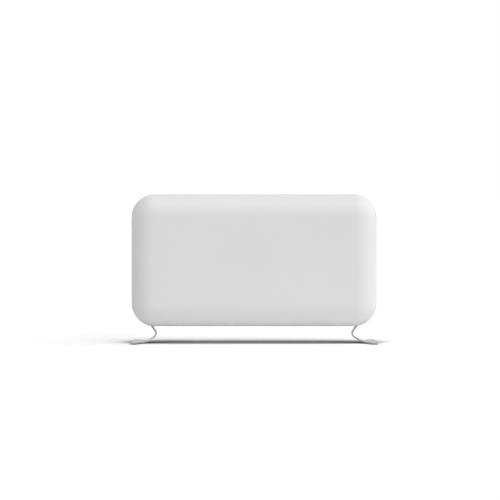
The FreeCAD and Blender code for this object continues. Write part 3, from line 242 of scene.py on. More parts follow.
class HEATER_PG_stage(bpy.types.PropertyGroup):
    """Camera, light and floor."""

    camera_place: vector("Camera Place", "Where the camera stands", (-0.0115, -7.0, 0.425), "TRANSLATION")
    camera_drop: angle("Camera Drop", "How far the camera looks down", 1.35)
    lens: level("Lens", "Focal length in millimetres", 180.0, "CAMERA")
    sky: level("Sky", "Strength of the all-round light", 0.352)
    side: level("Side", "Strength of the low side light", 2.6)
    side_from: vector("Side From", "Direction that the side light comes from", (0.941, -0.30, 0.16))
    side_spread: angle("Side Spread", "Apparent size of the side light", 110)
    top: level("Top", "Strength of the top light", 1.27)
    top_from: vector("Top From", "Direction that the top light comes from", (0.0, -0.3, 0.954))
    top_spread: angle("Top Spread", "Apparent size of the top light", 30)
    floor: colour("Floor", "Colour of the floor as it is seen", (1.0, 1.0, 1.0))
    floor_bounce: colour("Floor Bounce", "Colour of the light off the floor", (0.96, 0.96, 0.96))
    floor_lift: level("Floor Lift", "Glow of the floor as seen", 0.04)
    floor_reach: length("Floor Reach", "Half the side of the floor", 200.0)
    # The contact shadow set below is painted shade, mixed into the floor's colour from ambient occlusion.
    contact_floor: colour("Contact Floor", "Colour of the floor in full contact shadow", (0.2, 0.2, 0.2))
    contact_from: vector("Contact From", "Direction that the contact shadow leans from", (0.0, -0.9, 0.436))
    contact_reach: length("Contact Reach", "How far the contact shadow spreads", 0.11)
    contact_full: portion("Contact Full", "Openness at which the contact shadow is full", 0.62)
    contact_end: portion("Contact End", "Openness at which the contact shadow ends", 0.97)


class HEATER_PG_settings(bpy.types.PropertyGroup):
    """Everything that a user would change."""

    casing: PointerProperty(type=HEATER_PG_casing)
    grille: PointerProperty(type=HEATER_PG_grille)
    foot: PointerProperty(type=HEATER_PG_foot)
    panel: PointerProperty(type=HEATER_PG_panel)
    knob: PointerProperty(type=HEATER_PG_knob)
    rocker: PointerProperty(type=HEATER_PG_rocker)
    lamp: PointerProperty(type=HEATER_PG_lamp)
    gland: PointerProperty(type=HEATER_PG_gland)
    fasteners: PointerProperty(type=HEATER_PG_fasteners)
    stage: PointerProperty(type=HEATER_PG_stage)


# Node trees
class Socket:
    """An output socket that takes part in sums, with a Math node for each sum."""

    def __init__(self, graph, socket):
        self.graph = graph
        self.socket = socket

    def beside(self, output):
        """Another output of the same node."""
        return Socket(self.graph, self.socket.node.outputs[output])

    def __add__(self, other):
        return self.graph.math("ADD", self, other)

    def __sub__(self, other):
        return self.graph.math("SUBTRACT", self, other)

    def __rsub__(self, other):
        return self.graph.math("SUBTRACT", other, self)

    def __mul__(self, other):
        return self.graph.math("MULTIPLY", self, other)

    def __truediv__(self, other):
        return self.graph.math("DIVIDE", self, other)

    def __mod__(self, other):
        return self.graph.math("MODULO", self, other)

    def __gt__(self, other):
        return self.graph.math("GREATER_THAN", self, other)

    __radd__ = __add__
    __rmul__ = __mul__


class Graph:
    """Adds nodes to a shader or geometry tree."""

    def __init__(self, tree):
        self.tree = tree

    def add(self, kind, sockets=None, output=0, **settings):
        """Add a node of a type, with its settings first and then its sockets' values or links."""
        node = self.tree.nodes.new(kind)
        for name, value in settings.items():
            if name == "stops":
                self.set_stops(node.color_ramp.elements, value)
            else:
                setattr(node, name, value)
        for key, value in (sockets or {}).items():
            self.feed(node.inputs[key], value)
        return Socket(self, node.outputs[output]) if node.outputs else None

    def set_stops(self, elements, stops):
        for place, (position, tone) in enumerate(stops):
            if place >= len(elements):
                elements.new(position)
            elements[place].position = position
            elements[place].color = (*tone, 1.0)

    def feed(self, target, value):
        if isinstance(value, (Socket, list)):
            for part in value if isinstance(value, list) else [value]:
                self.tree.links.new(part.socket, target)
        else:
            target.default_value = value

    def math(self, operation, first, second=0.0):
        return self.add("ShaderNodeMath", {0: first, 1: second}, operation=operation)

    def vector(self, x=0.0, y=0.0, z=0.0):
        return self.add("ShaderNodeCombineXYZ", {"X": x, "Y": y, "Z": z})


class Finish(Graph):
    """A material with one Principled shader, painted from object coordinates."""

    def __init__(self, name, constants):
        self.material = bpy.data.materials.new(name)
        self.material.use_nodes = True
        super().__init__(self.material.node_tree)
        self.tree.nodes.clear()
        shader = self.add("ShaderNodeBsdfPrincipled")
        self.channels = shader.socket.node.inputs
        self.add("ShaderNodeOutputMaterial", {"Surface": shader})
        self.paint(constants)
        self.place = self.add("ShaderNodeTexCoord", output="Object")

    def paint(self, values):
        for name, value in values.items():
            self.feed(self.channels[name], value)

    def noise(self, scale, detail=2.0, stretch=None):
        place = self.place
        if stretch:
            place = self.add("ShaderNodeVectorMath", {0: place, 1: stretch}, operation="MULTIPLY")
        return self.add("ShaderNodeTexNoise", {"Vector": place, "Scale": scale, "Detail": detail})

    def cells(self, scale, output="Distance"):
        return self.add("ShaderNodeTexVoronoi", {"Vector": self.place, "Scale": scale}, output)

    def blend(self, share, *tones):
        """Mix of two tones, at the Mix node's colour sockets."""
        first, second = (tone if isinstance(tone, Socket) else (*tone, 1.0) for tone in tones)
        return self.add("ShaderNodeMix", {"Factor": share, 6: first, 7: second}, 2, data_type="RGBA")

    def ramp(self, share, stops):
        return self.add("ShaderNodeValToRGB", {"Fac": share}, "Color", stops=stops)

    def coat(self, tone, roughness, height=None, depth=0.0):
        """Paint the colour, the roughness and the relief, and give back the material."""
        self.paint({"Base Color": tone, "Roughness": roughness})
        if height is not None:
            relief = {"Height": height, "Distance": depth}
            self.paint({"Normal": self.add("ShaderNodeBump", relief, "Normal")})
        return self.material


class Growth(Graph):
    """A geometry tree with a named input for each size."""

    def __init__(self, name, inputs):
        super().__init__(bpy.data.node_groups.new(name, "GeometryNodeTree"))
        new_socket = self.tree.interface.new_socket
        new_socket("Geometry", in_out="INPUT", socket_type="NodeSocketGeometry")
        for label, value in inputs.items():
            kind = "NodeSocketInt" if isinstance(value, int) else "NodeSocketFloat"
            new_socket(label, in_out="INPUT", socket_type=kind)
        new_socket("Geometry", in_out="OUTPUT", socket_type="NodeSocketGeometry")
        self.points = self.add("NodeGroupInput")
        self.size = {label: self.points.beside(label) for label in inputs}

    def moved(self, geometry, shift):
        return self.add("GeometryNodeTransform", {"Geometry": geometry, "Translation": shift})

    def block(self, x, y, z):
        return self.add("GeometryNodeMeshCube", {"Size": self.vector(x, y, z)})

    def rod(self, sockets):
        return self.add("GeometryNodeMeshCylinder", sockets, fill_type="NGON")

    def joined(self, *bodies):
        return self.add("GeometryNodeMeshBoolean", {1: list(bodies)}, operation="UNION")

    def cut(self, body, *tools):
        return self.add("GeometryNodeMeshBoolean", {0: body, 1: list(tools)}, operation="DIFFERENCE")

    def repeated(self, points, instance, placing):
        sockets = {"Points": points, "Instance": instance, **placing}
        return self.add("GeometryNodeInstanceOnPoints", sockets)

    def realized(self, geometry):
        return self.add("GeometryNodeRealizeInstances", {"Geometry": geometry})

    def close(self, geometry, slot):
        """End the tree in realized instances and their material."""
        sockets = {"Geometry": self.realized(geometry), "Material": material_for(slot)}
        self.add("NodeGroupOutput", {0: self.add("GeometryNodeSetMaterial", sockets)})
        return self

    def grow(self, name, inputs, places=(), facings=()):
        """Plain mesh piece that the tree grows from loose points, each with its facing."""
        shape = bmesh.new()
        for place in places:
            shape.verts.new(place)
        piece = new_piece(name, shape)
        if places:
            attribute = piece.data.attributes.new("facing", "FLOAT_VECTOR", "POINT")
            attribute.data.foreach_set("vector", [part for facing in facings for part in facing])
        modifier = piece.modifiers.new(self.tree.name, "NODES")
        modifier.node_group = self.tree
        for item in self.tree.interface.items_tree:
            if item.in_out == "INPUT" and item.name in inputs:
                modifier[item.identifier] = inputs[item.name]
        return bake(piece)


# Finishes
METAL = {"Metallic": 1.0}


def shade(tone, factor):
    return tuple(part * factor for part in tone)


def powder_coat(slot):
    tone = bpy.context.scene.heater.casing.paint
    finish = Finish(slot, {"Specular IOR Level": 0.28})
    drift = finish.noise(5.0)
    peel = finish.noise(850.0, 3.0)
    paint = finish.blend(drift, shade(tone, 0.985), shade(tone, 1.015))
    return finish.coat(paint, 0.48 + drift * 0.06 + peel * 0.06, peel, 0.00003)


def bright_aluminium(slot):
    tone = bpy.context.scene.heater.foot.metal
    finish = Finish(slot, METAL)
    brush = finish.noise(1.0, 3.0, (45.0, 2600.0, 45.0))
    drift = finish.noise(40.0)
    metal = finish.blend(brush, shade(tone, 0.93), shade(tone, 1.04))
    return finish.coat(metal, 0.2 + brush * 0.12 + drift * 0.06, brush, 0.000012)


def glide_rubber(slot):
    finish = Finish(slot, {"Specular IOR Level": 0.25})
    grain = finish.noise(1400.0, 4.0)
    rubber = finish.blend(grain, (0.05, 0.05, 0.052), (0.085, 0.085, 0.088))
    return finish.coat(rubber, 0.72 + grain * 0.16, grain, 0.00005)


def zinc_sheet(slot):
    finish = Finish(slot, METAL)
    spangle = finish.add("ShaderNodeSeparateColor", {"Color": finish.cells(95.0, "Color")}, "Red")
    drift = finish.noise(18.0, 4.0)
    zinc = finish.blend(spangle * 0.6 + drift * 0.4, (0.44, 0.46, 0.48), (0.62, 0.64, 0.66))
    return finish.coat(zinc, 0.3 + spangle * 0.14 + drift * 0.06, drift, 0.00004)


def plated_screw(slot):
    finish = Finish(slot, METAL)
    drift = finish.noise(420.0, 3.0)
    plating = finish.blend(drift, (0.52, 0.53, 0.54), (0.7, 0.71, 0.72))
    return finish.coat(plating, 0.24 + drift * 0.16, drift, 0.00002)


def heated_steel(slot):
    finish = Finish(slot, METAL)
    drift = finish.noise(24.0, 3.0, (0.35, 1.0, 1.0))
    tint = [(0.3, (0.16, 0.13, 0.11)), (0.5, (0.3, 0.25, 0.2)), (0.72, (0.2, 0.22, 0.27))]
    return finish.coat(finish.ramp(drift, tint), 0.38 + drift * 0.2, finish.noise(900.0), 0.00002)


def mill_aluminium(slot):
    finish = Finish(slot, METAL)
    draw = finish.noise(1.0, 3.0, (12.0, 1500.0, 1500.0))
    metal = finish.blend(draw, (0.58, 0.59, 0.6), (0.76, 0.77, 0.78))
    return finish.coat(metal, 0.3 + draw * 0.18, draw, 0.00002)


def bush_ceramic(slot):
    finish = Finish(slot, {"Specular IOR Level": 0.4})
    grain = finish.noise(1100.0, 4.0)
    ceramic = finish.blend(grain, (0.68, 0.65, 0.57), (0.84, 0.82, 0.75))
    return finish.coat(ceramic, 0.5 + grain * 0.25, grain, 0.00004)


def plain_brass(slot, tone):
    finish = Finish(slot, METAL)
    drift = finish.noise(260.0, 4.0)
    brass = finish.blend(drift, shade(tone, 0.8), shade(tone, 1.08))
    return finish.coat(brass, 0.24 + drift * 0.2, drift, 0.00002)


def moulded_plastic(slot, tone, grain, depth, gloss):
    """Plastic with the fine spark texture of its mould."""
    finish = Finish(slot, {"Specular IOR Level": 0.45})
    spark = finish.cells(grain)
    drift = finish.noise(30.0)
    plastic = finish.blend(drift, shade(tone, 0.9), shade(tone, 1.1))
    return finish.coat(plastic, gloss + spark * 0.16 + drift * 0.05, spark, depth)


def turned_steel(slot):
    finish = Finish(slot, METAL)
    lathe = finish.noise(1.0, 2.0, (20.0, 3200.0, 20.0))
    steel = finish.blend(lathe, (0.5, 0.5, 0.5), (0.66, 0.66, 0.66))
    return finish.coat(steel, 0.24 + lathe * 0.16, lathe, 0.00001)


def amber_lens(slot):
    finish = Finish(slot, {"Transmission Weight": 0.45, "IOR": 1.49})
    facet = finish.cells(900.0)
    amber = finish.blend(finish.noise(160.0), (0.75, 0.16, 0.01), (0.88, 0.27, 0.03))
    return finish.coat(amber, 0.08 + facet * 0.1, facet, 0.00006)


def lead_sleeve(slot):
    finish = Finish(slot, {"Specular IOR Level": 0.35})
    weave = finish.cells(1500.0)
    sleeve = finish.blend(weave, (0.5, 0.07, 0.05), (0.3, 0.035, 0.03))
    return finish.coat(sleeve, 0.45 + weave * 0.2, weave, 0.00008)


def white_ink(slot):
    finish = Finish(slot, {"Specular IOR Level": 0.3})
    grain = finish.noise(1600.0, 3.0)
    ink = finish.blend(grain, (0.72, 0.72, 0.71), (0.82, 0.82, 0.81))
    return finish.coat(ink, 0.5 + grain * 0.15)


def plastic(tone, grain, depth, gloss):
    return functools.partial(moulded_plastic, tone=tone, grain=grain, depth=depth, gloss=gloss)


FINISHES = {
    "casing_white": powder_coat,
    "foot_aluminium": bright_aluminium,
    "glide_rubber": glide_rubber,
    "zinc_steel": zinc_sheet,
    "screw_steel": plated_screw,
    "element_steel": heated_steel,
    "fin_aluminium": mill_aluminium,
    "bush_ceramic": bush_ceramic,
    "terminal_brass": functools.partial(plain_brass, tone=(0.78, 0.56, 0.22)),
    "weight_brass": functools.partial(plain_brass, tone=(0.72, 0.55, 0.25)),
    "panel_plastic": plastic((0.045, 0.047, 0.05), grain=1300.0, depth=0.00009, gloss=0.42),
    "knob_plastic": plastic((0.055, 0.057, 0.06), grain=2100.0, depth=0.00005, gloss=0.36),
    "rocker_plastic": plastic((0.02, 0.02, 0.022), grain=2600.0, depth=0.00002, gloss=0.22),
    "inner_plastic": plastic((0.7, 0.68, 0.61), grain=1500.0, depth=0.00005, gloss=0.4),
    "shaft_steel": turned_steel,
    "lamp_plastic": amber_lens,
    "lead_sleeve": lead_sleeve,
    "white_ink": white_ink,
}


@functools.cache
def material_for(slot):
    return FINISHES[slot](slot)


# Mesh tools
SHARP_EDGE = math.radians(35.0)
EDGE_STEPS = 3
FINE_EDGE_STEPS = 2
HOLE_SIDES = 40
LEAST_ARC_STEPS = 3
WELD_REACH = 0.00002


def link_object(name, data):
    thing = bpy.data.objects.new(name, data)
    bpy.context.scene.collection.objects.link(thing)
    return thing


def evaluated_mesh(thing):
    """Plain mesh of what an object's modifiers or characters make."""
    graph = bpy.context.evaluated_depsgraph_get()
    return bpy.data.meshes.new_from_object(thing.evaluated_get(graph))


def new_piece(name, shape):
    """Turn a bmesh into a smooth object of the scene."""
    mesh = bpy.data.meshes.new(name)
    shape.to_mesh(mesh)
    shape.free()
    mesh.shade_smooth()
    return link_object(name, mesh)


def bake(piece):
    """Replace a piece's mesh by what its modifiers make of it."""
    mesh = evaluated_mesh(piece)
    piece.modifiers.clear()
    piece.data = mesh
    mesh.name = piece.name
    return piece


def soften(piece, width, steps=EDGE_STEPS):
    """Round the sharp edges of a piece."""
    bevel = piece.modifiers.new("edges", "BEVEL")
    bevel.width = width
    bevel.segments = steps
    bevel.limit_method = "ANGLE"
    bevel.angle_limit = SHARP_EDGE
    bevel.harden_normals = True
    return bake(piece)


def cut(piece, shape):
    """Cut a shape out of a piece, and merge the points that then lie together."""
    tool = new_piece(f"{piece.name}_tool", shape)
    boolean = piece.modifiers.new("cut", "BOOLEAN")
    boolean.operation = "DIFFERENCE"
    boolean.solver = "EXACT"
    boolean.object = tool
    weld = piece.modifiers.new("weld", "WELD")
    weld.merge_threshold = WELD_REACH
    bake(piece)
    bpy.data.objects.remove(tool)


def add_block(shape, low, high):
    low, high = Vector(low), Vector(high)
    extent = Matrix.Diagonal((*(high - low), 1.0))
    bmesh.ops.create_cube(shape, size=1.0, matrix=Matrix.Translation((low + high) / 2) @ extent)


def add_rod(shape, middle, reach, radius):
    """Rod about a point, that reaches one vector to each side of it."""
    turn = reach.to_track_quat("Z", "X").to_matrix().to_4x4()
    bmesh.ops.create_cone(
        shape,
        cap_ends=True,
        segments=HOLE_SIDES,
        radius1=radius,
        radius2=radius,
        depth=reach.length * 2,
        matrix=Matrix.Translation(middle) @ turn,
    )


def loft(rings, looped=False):
    """Closed shape through rings of equal count, with flat ends or joined into a loop."""
    shape = bmesh.new()
    rows = [[shape.verts.new(point) for point in ring] for ring in rings]
    following = rows[1:] + rows[:1] if looped else rows[1:]
    for row, after in zip(rows, following):
        for i in range(len(row)):
            j = (i + 1) % len(row)
            shape.faces.new((row[i], row[j], after[j], after[i]))
    if not looped:
        shape.faces.new(rows[0])
        shape.faces.new(rows[-1])
    bmesh.ops.recalc_face_normals(shape, faces=shape.faces)
    return shape


def turned_arc(y, radius, size, begin, end, steps, depth=None):
    """Arc of a turned profile about a point, in degrees from outwards round to the back."""
    depth = size if depth is None else depth
    turns = [math.radians(begin + (end - begin) * i / steps) for i in range(steps + 1)]
    return [(y + depth * math.sin(turn), radius + size * math.cos(turn)) for turn in turns]


def turned_rings(middle, profile, sides, trim=None):
    """Rings round an axis along Y for (depth, radius) pairs, each trimmed to a radius by angle."""
    rings = []
    for y, radius in profile:
        ring = []
        for i in range(sides):
            turn = math.tau * i / sides
            reach = radius if trim is None else min(radius, trim(turn, radius))
            ring.append((middle.x + reach * math.cos(turn), y, middle.z + reach * math.sin(turn)))
        rings.append(ring)
    return rings


def turned_piece(name, node, rings, crease, looped=False):
    """Finish a turned piece, with edges where it bends by more than the crease in degrees."""
    piece = new_piece(name, loft(rings, looped))
    piece.data.set_sharp_from_angle(angle=math.radians(crease))
    dress(piece, node)


def rounded_route(corners, radii, step):
    """Points along straight runs joined by tangent arcs in a plane."""
    route = [corners[0]]
    for before, corner, after, radius in zip(corners, corners[1:], corners[2:], radii):
        arriving = (corner - before).normalized()
        leaving = (after - corner).normalized()
        turn = arriving.angle_signed(leaving)
        start = corner - arriving * radius * math.tan(abs(turn) / 2)
        side = math.copysign(1.0, turn)
        centre = start + Vector((arriving.y, -arriving.x)) * radius * side
        steps = max(LEAST_ARC_STEPS, math.ceil(abs(turn) * radius / step))
        for i in range(steps + 1):
            spoke = start - centre
            spoke.rotate(Matrix.Rotation(-turn * i / steps, 2))
            route.append(centre + spoke)
    route.append(corners[-1])
    return route


def paint_over(solid, slot):
    solid.data.materials.clear()
    solid.data.materials.append(material_for(slot))


def dress(piece, node):
    """Give a finished piece its material and body, and hide the node that it stands for."""
    slot = NODE_SLOT[node]
    paint_over(piece, slot)
    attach(piece, NODE_BODY[node])
    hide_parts(node)


def mark(piece, body):
    """Give a printed piece its ink and the body that it is printed on."""
    paint_over(piece, "white_ink")
    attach(piece, body)


def middle_of(node):
    low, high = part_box(node)
    return (low + high) / 2


# Casing
ROUND_STEPS = 28
CORNER_STEPS = 28
SUPPORT = 0.001
CUT_WALLS = 3
SCREW_REACH = 0.015


def outline(half_x, half_z, radius):
    """Rounded rectangle, with one more point on the straight beside each tangent point."""
    points = []
    for quarter, (side_x, side_z) in enumerate(((1, 1), (-1, 1), (-1, -1), (1, -1))):
        centre = Vector((side_x * (half_x - radius), side_z * (half_z - radius)))
        arc = []
        for i in range(CORNER_STEPS + 1):
            turn = math.pi / 2 * (quarter + i / CORNER_STEPS)
            arc.append(centre + Vector((math.cos(turn), math.sin(turn))) * radius)
        first, last = math.pi / 2 * quarter, math.pi / 2 * (quarter + 1)
        before = arc[0] - Vector((-math.sin(first), math.cos(first))) * SUPPORT
        after = arc[-1] + Vector((-math.sin(last), math.cos(last))) * SUPPORT
        points += [before, *arc, after]
    return points


def casing_rings(profile):
    """The casing's outline at each (inset, depth) pair."""
    half_z = (SHELL_HIGH.z - SHELL_LOW.z) / 2
    mid_z = (SHELL_HIGH.z + SHELL_LOW.z) / 2
    corner = bpy.context.scene.heater.casing.corner
    return [
        [(p.x, y, mid_z + p.y) for p in outline(SHELL_HIGH.x - inset, half_z - inset, corner - inset)]
        for inset, y in profile
    ]


def quarter_round(inset, start_y, radius, way):
    """Inset and depth from a straight wall round to a flat face, and a little way along the face."""
    turns = [math.pi / 2 * i / ROUND_STEPS for i in range(ROUND_STEPS + 1)]
    path = [
        (inset + radius * (1 - math.cos(turn)), start_y + way * radius * math.sin(turn))
        for turn in turns
    ]
    last_inset, last_y = path[-1]
    return [*path, (last_inset + SUPPORT, last_y)]


def press(name, node, profile, cuts):
    """Make a shell of the casing from its profile, cut its openings and finish it."""
    piece = new_piece(name, loft(casing_rings(profile)))
    cut(piece, cuts)
    soften(piece, bpy.context.scene.heater.casing.edge, FINE_EDGE_STEPS)
    dress(piece, node)


def screw_places(node):
    """Box of each screw in a node, from how the node's points lie together."""
    groups = []
    for vertex in frame["nodes"][node].data.vertices:
        for group in groups:
            if (group[0] - vertex.co).length < SCREW_REACH:
                group.append(vertex.co.copy())
                break
        else:
            groups.append([vertex.co.copy()])
    return [
        (Vector(map(min, zip(*group))), Vector(map(max, zip(*group)))) for group in groups
    ]


def screw_middles(node):
    return [(low + high) / 2 for low, high in screw_places(node)]


def outer_face(place):
    """Height and outward direction of the casing's face, above or below, that is nearest to a place."""
    return (SHELL_HIGH.z, UP) if place.z > SHELL_HIGH.z / 2 else (SHELL_LOW.z, DOWN)


def foot_slot(node):
    """Plan box of the casing floor's slot round a foot's neck."""
    heater = bpy.context.scene.heater
    foot = heater.foot
    lean = math.tan(foot.lean)
    spare = foot.thick / (2 * math.cos(foot.lean)) + foot.slot_fit
    waist_x = SHELL_HIGH.x - foot.waist_inset + foot.waist_bend * (1 - math.cos(foot.lean))
    waist_z = foot.waist_rise + foot.waist_bend * math.sin(foot.lean)
    near = waist_x + (SHELL_LOW.z - waist_z) * lean - spare
    far = near + 2 * spare + heater.casing.wall * 2 * lean
    half = foot.neck / 2 + foot.slot_fit
    side = math.copysign(1.0, middle_of(node).x)
    low_x, high_x = sorted((near * side, far * side))
    return (low_x, -half), (high_x, half)


class HEATER_OT_front_shell(bpy.types.Operator):
    """Build the deep-drawn front of the casing"""

    bl_idname = "heater.front_shell"
    bl_label = "Front Shell"

    def execute(self, context):
        casing = context.scene.heater.casing
        radius, wall = casing.front_round, casing.wall
        start_y = SHELL_LOW.y + radius
        support_y = start_y + SUPPORT
        outer = quarter_round(0.0, start_y, radius, -1)[::-1]
        inner = quarter_round(wall, start_y, radius - wall, -1)
        rim = [(0.0, support_y), (0.0, SHELL_HIGH.y), (wall, SHELL_HIGH.y), (wall, support_y)]
        cuts = self.openings(context.scene.heater)
        press("front_shell_drawn", "front_shell", outer + rim + inner, cuts)
        return {"FINISHED"}

    def openings(self, heater):
        """Grille openings, foot slots and screw holes."""
        cuts = bmesh.new()
        grille, fasteners = heater.grille, heater.fasteners
        deep = heater.casing.wall * CUT_WALLS
        half = Vector((grille.opening_length / 2, grille.opening_width / 2, deep))
        for node, z in (("outlet_grille", SHELL_HIGH.z), ("intake_grille", SHELL_LOW.z)):
            middle = Vector((0.0, middle_of(node).y, z))
            add_block(cuts, middle - half, middle + half)
        for node in ("foot_left", "foot_right"):
            low, high = foot_slot(node)
            add_block(cuts, (*low, SHELL_LOW.z - deep), (*high, SHELL_LOW.z + deep))
        for middle in screw_middles("base_screws"):
            hole = fasteners.shank_radius * fasteners.shank_hole
            add_rod(cuts, (*middle.xy, SHELL_LOW.z), UP * deep, hole)
        for middle in screw_middles("grille_screws"):
            face, way = outer_face(middle)
            hole = fasteners.head_radius * fasteners.head_hole
            add_rod(cuts, (*middle.xy, face), way * deep, hole)
        return cuts


class HEATER_OT_rear_cover(bpy.types.Operator):
    """Build the shallow back of the casing"""

    bl_idname = "heater.rear_cover"
    bl_label = "Rear Cover"

    def execute(self, context):
        casing = context.scene.heater.casing
        radius, wall = casing.rear_round, casing.wall
        start_y = COVER_HIGH.y - radius
        rim_y = SHELL_HIGH.y + casing.seam
        tongue, bore = casing.tongue_inset, casing.tongue_inset + casing.tongue_wall
        rim = [
            (0.0, start_y - SUPPORT),
            (0.0, rim_y),
            (tongue, rim_y),
            (tongue, COVER_LOW.y),
            (bore, COVER_LOW.y),
            (bore, rim_y + wall),
            (wall, rim_y + wall),
        ]
        outer = quarter_round(0.0, start_y, radius, 1)[::-1]
        inner = quarter_round(wall, start_y, radius - wall, 1)
        cuts = self.openings(context.scene.heater)
        press("rear_cover_pressed", "rear_cover", outer + rim + inner, cuts)
        return {"FINISHED"}

    def openings(self, heater):
        """Openings behind the control panel, for the gland and for the screws."""
        cuts = bmesh.new()
        deep, lap = heater.casing.wall * CUT_WALLS, heater.panel.lap
        low = (PANEL_LOW.x + lap, COVER_HIGH.y - deep, PANEL_LOW.z + lap)
        high = (PANEL_HIGH.x - lap, COVER_HIGH.y + deep, PANEL_HIGH.z - lap)
        add_block(cuts, low, high)
        holes = [(middle_of("cord_gland"), heater.gland.barrel + heater.gland.fit)]
        shank_hole = heater.fasteners.shank_radius * heater.fasteners.shank_hole
        for middle in screw_middles("rear_screws") + screw_middles("panel_screws"):
            holes.append((middle, shank_hole))
        for middle, radius in holes:
            add_rod(cuts, (middle.x, COVER_HIGH.y, middle.z), BACK * deep, radius)
        return cuts


# Grilles and screws, grown with geometry nodes
SLOT_CORNER_STEPS = 5
CUTTER_RISE = 3.0
CUTTER_DROP = 2.0
MERGE_REACH = 0.00001
HEAD_SIDES = 32
HEAD_RINGS = 5
SHANK_SIDES = 20
SHANK_SHARE = 0.4
CROSS_SHARE = 0.9
SPIN_SEED = 4


def slotted_grille(inputs):
    """Tree of a flat grille: a raised plate on a wider lip, with a row of rounded slots."""
    tree = Growth("slotted_grille", inputs)
    add, size = tree.add, tree.size
    plate_thick, lip_thick = size["Plate Thickness"], size["Lip Thickness"]
    whole_thick = plate_thick + lip_thick

    def slab(x, y, z, top):
        return tree.moved(tree.block(x, y, z), tree.vector(z=top - z * 0.5))

    plate = slab(size["Plate Length"], size["Plate Width"], whole_thick - lip_thick * 0.5, 0.0)
    lip = slab(size["Lip Length"], size["Lip Width"], lip_thick, plate_thick * -1.0)
    rectangle = add(
        "GeometryNodeCurvePrimitiveQuadrilateral",
        {"Width": size["Slot Width"], "Height": size["Slot Length"]},
        mode="RECTANGLE",
    )
    corner = {"Curve": rectangle, "Radius": size["Slot Corner"], "Count": SLOT_CORNER_STEPS}
    rounded = add("GeometryNodeFilletCurve", corner, mode="POLY")
    face = add("GeometryNodeFillCurve", {"Curve": rounded}, mode="NGONS")
    rise = {"Mesh": face, "Offset Scale": whole_thick * CUTTER_RISE, "Individual": False}
    risen = add("GeometryNodeExtrudeMesh", rise, mode="FACES")
    under = add("GeometryNodeFlipFaces", {"Mesh": face})
    both = add("GeometryNodeJoinGeometry", {"Geometry": [risen, under]})
    cutter = add("GeometryNodeMergeByDistance", {"Geometry": both, "Distance": MERGE_REACH})
    run = size["Slot Pitch"] * (size["Slots"] - 1.0)
    row = {
        "Count": size["Slots"],
        "Start Location": tree.vector(x=run * -0.5, z=whole_thick * -CUTTER_DROP),
        "Offset": tree.vector(x=size["Slot Pitch"]),
    }
    places = add("GeometryNodeMeshLine", row, mode="OFFSET")
    cutters = tree.realized(tree.repeated(places, cutter, {}))
    return tree.close(tree.cut(tree.joined(plate, lip), cutters), "casing_white")


class HEATER_OT_grilles(bpy.types.Operator):
    """Build the slotted air grilles in the top and the underside"""

    bl_idname = "heater.grilles"
    bl_label = "Air Grilles"

    def execute(self, context):
        casing, grille = context.scene.heater.casing, context.scene.heater.grille
        low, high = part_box("outlet_grille")
        inputs = {
            "Plate Length": grille.opening_length - grille.fit * 2,
            "Plate Width": grille.opening_width - grille.fit * 2,
            "Plate Thickness": casing.wall,
            "Lip Length": high.x - low.x,
            "Lip Width": high.y - low.y,
            "Lip Thickness": high.z - low.z - casing.wall,
            "Slots": grille.slots,
            "Slot Pitch": (grille.opening_length - grille.end_margin * 2) / grille.slots,
            "Slot Width": grille.slot_width,
            "Slot Length": grille.slot_length,
            "Slot Corner": grille.slot_corner,
        }
        tree = slotted_grille(inputs)
        for node, face, turn in (
            ("outlet_grille", SHELL_HIGH.z, 0.0),
            ("intake_grille", SHELL_LOW.z, math.pi),
        ):
            piece = tree.grow(f"{node}_slotted", inputs)
            cut(piece, self.screw_holes(context.scene.heater.fasteners, high.z - low.z))
            soften(piece, grille.edge, FINE_EDGE_STEPS)
            place = Matrix.Translation((0.0, middle_of(node).y, face))
            piece.data.transform(place @ Matrix.Rotation(turn, 4, "X"))
            dress(piece, node)
        return {"FINISHED"}

    def screw_holes(self, fasteners, thick):
        cuts = bmesh.new()
        out = abs(screw_middles("grille_screws")[0].x)
        for x in (-out, out):
            add_rod(cuts, (x, 0.0, 0.0), UP * thick * 2, fasteners.shank_radius * fasteners.shank_hole)
        return cuts


def screw_set(inputs):
    """Tree that puts a cross-recess screw on each point, along the point's facing."""
    tree = Growth("screw_set", inputs)
    add, size = tree.add, tree.size
    radius, height, base = size["Head Radius"], size["Head Height"], size["Base"]
    head = {"Vertices": HEAD_SIDES, "Fill Segments": HEAD_RINGS, "Radius": radius, "Depth": 1.0}
    x = add("ShaderNodeSeparateXYZ", {"Vector": add("GeometryNodeInputPosition")})
    y, z = x.beside("Y"), x.beside("Z")
    top = z > 0.0
    out = (x * x + y * y) / (radius * radius)
    draw_in = size["Under Share"] + top * (1.0 - size["Under Share"])
    lift = base + top * (height * (1.0 - size["Crown"] * out))
    drawn = {"Geometry": tree.rod(head), "Position": tree.vector(x * draw_in, y * draw_in, lift)}
    domed = add("GeometryNodeSetPosition", drawn)
    shank_length = size["Shank Length"]
    shank = {"Vertices": SHANK_SIDES, "Radius": size["Shank Radius"], "Depth": shank_length}
    sunk = tree.vector(z=base + height * SHANK_SHARE - shank_length * 0.5)
    solid = tree.joined(domed, tree.moved(tree.rod(shank), sunk))
    face = tree.vector(z=base + height)
    long, wide = size["Recess"], size["Recess Width"]
    slots = [tree.block(long, wide, height), tree.block(wide, long, height * CROSS_SHARE)]
    screw = tree.cut(solid, *[tree.moved(slot, face) for slot in slots])
    facing = add("GeometryNodeInputNamedAttribute", {"Name": "facing"}, data_type="FLOAT_VECTOR")
    # The random node's limits for a plain number are its sockets 2 and 3
    turns = {2: 0.0, 3: math.tau, "Seed": SPIN_SEED}
    spin = add("FunctionNodeRandomValue", turns, 1, data_type="FLOAT")
    turned = add("FunctionNodeAxisAngleToRotation", {"Angle": spin})
    aim = {"Rotation": turned, "Vector": facing}
    aimed = add("FunctionNodeAlignRotationToVector", aim, axis="Z")
    return tree.close(tree.repeated(tree.points, screw, {"Rotation": aimed}), "screw_steel")


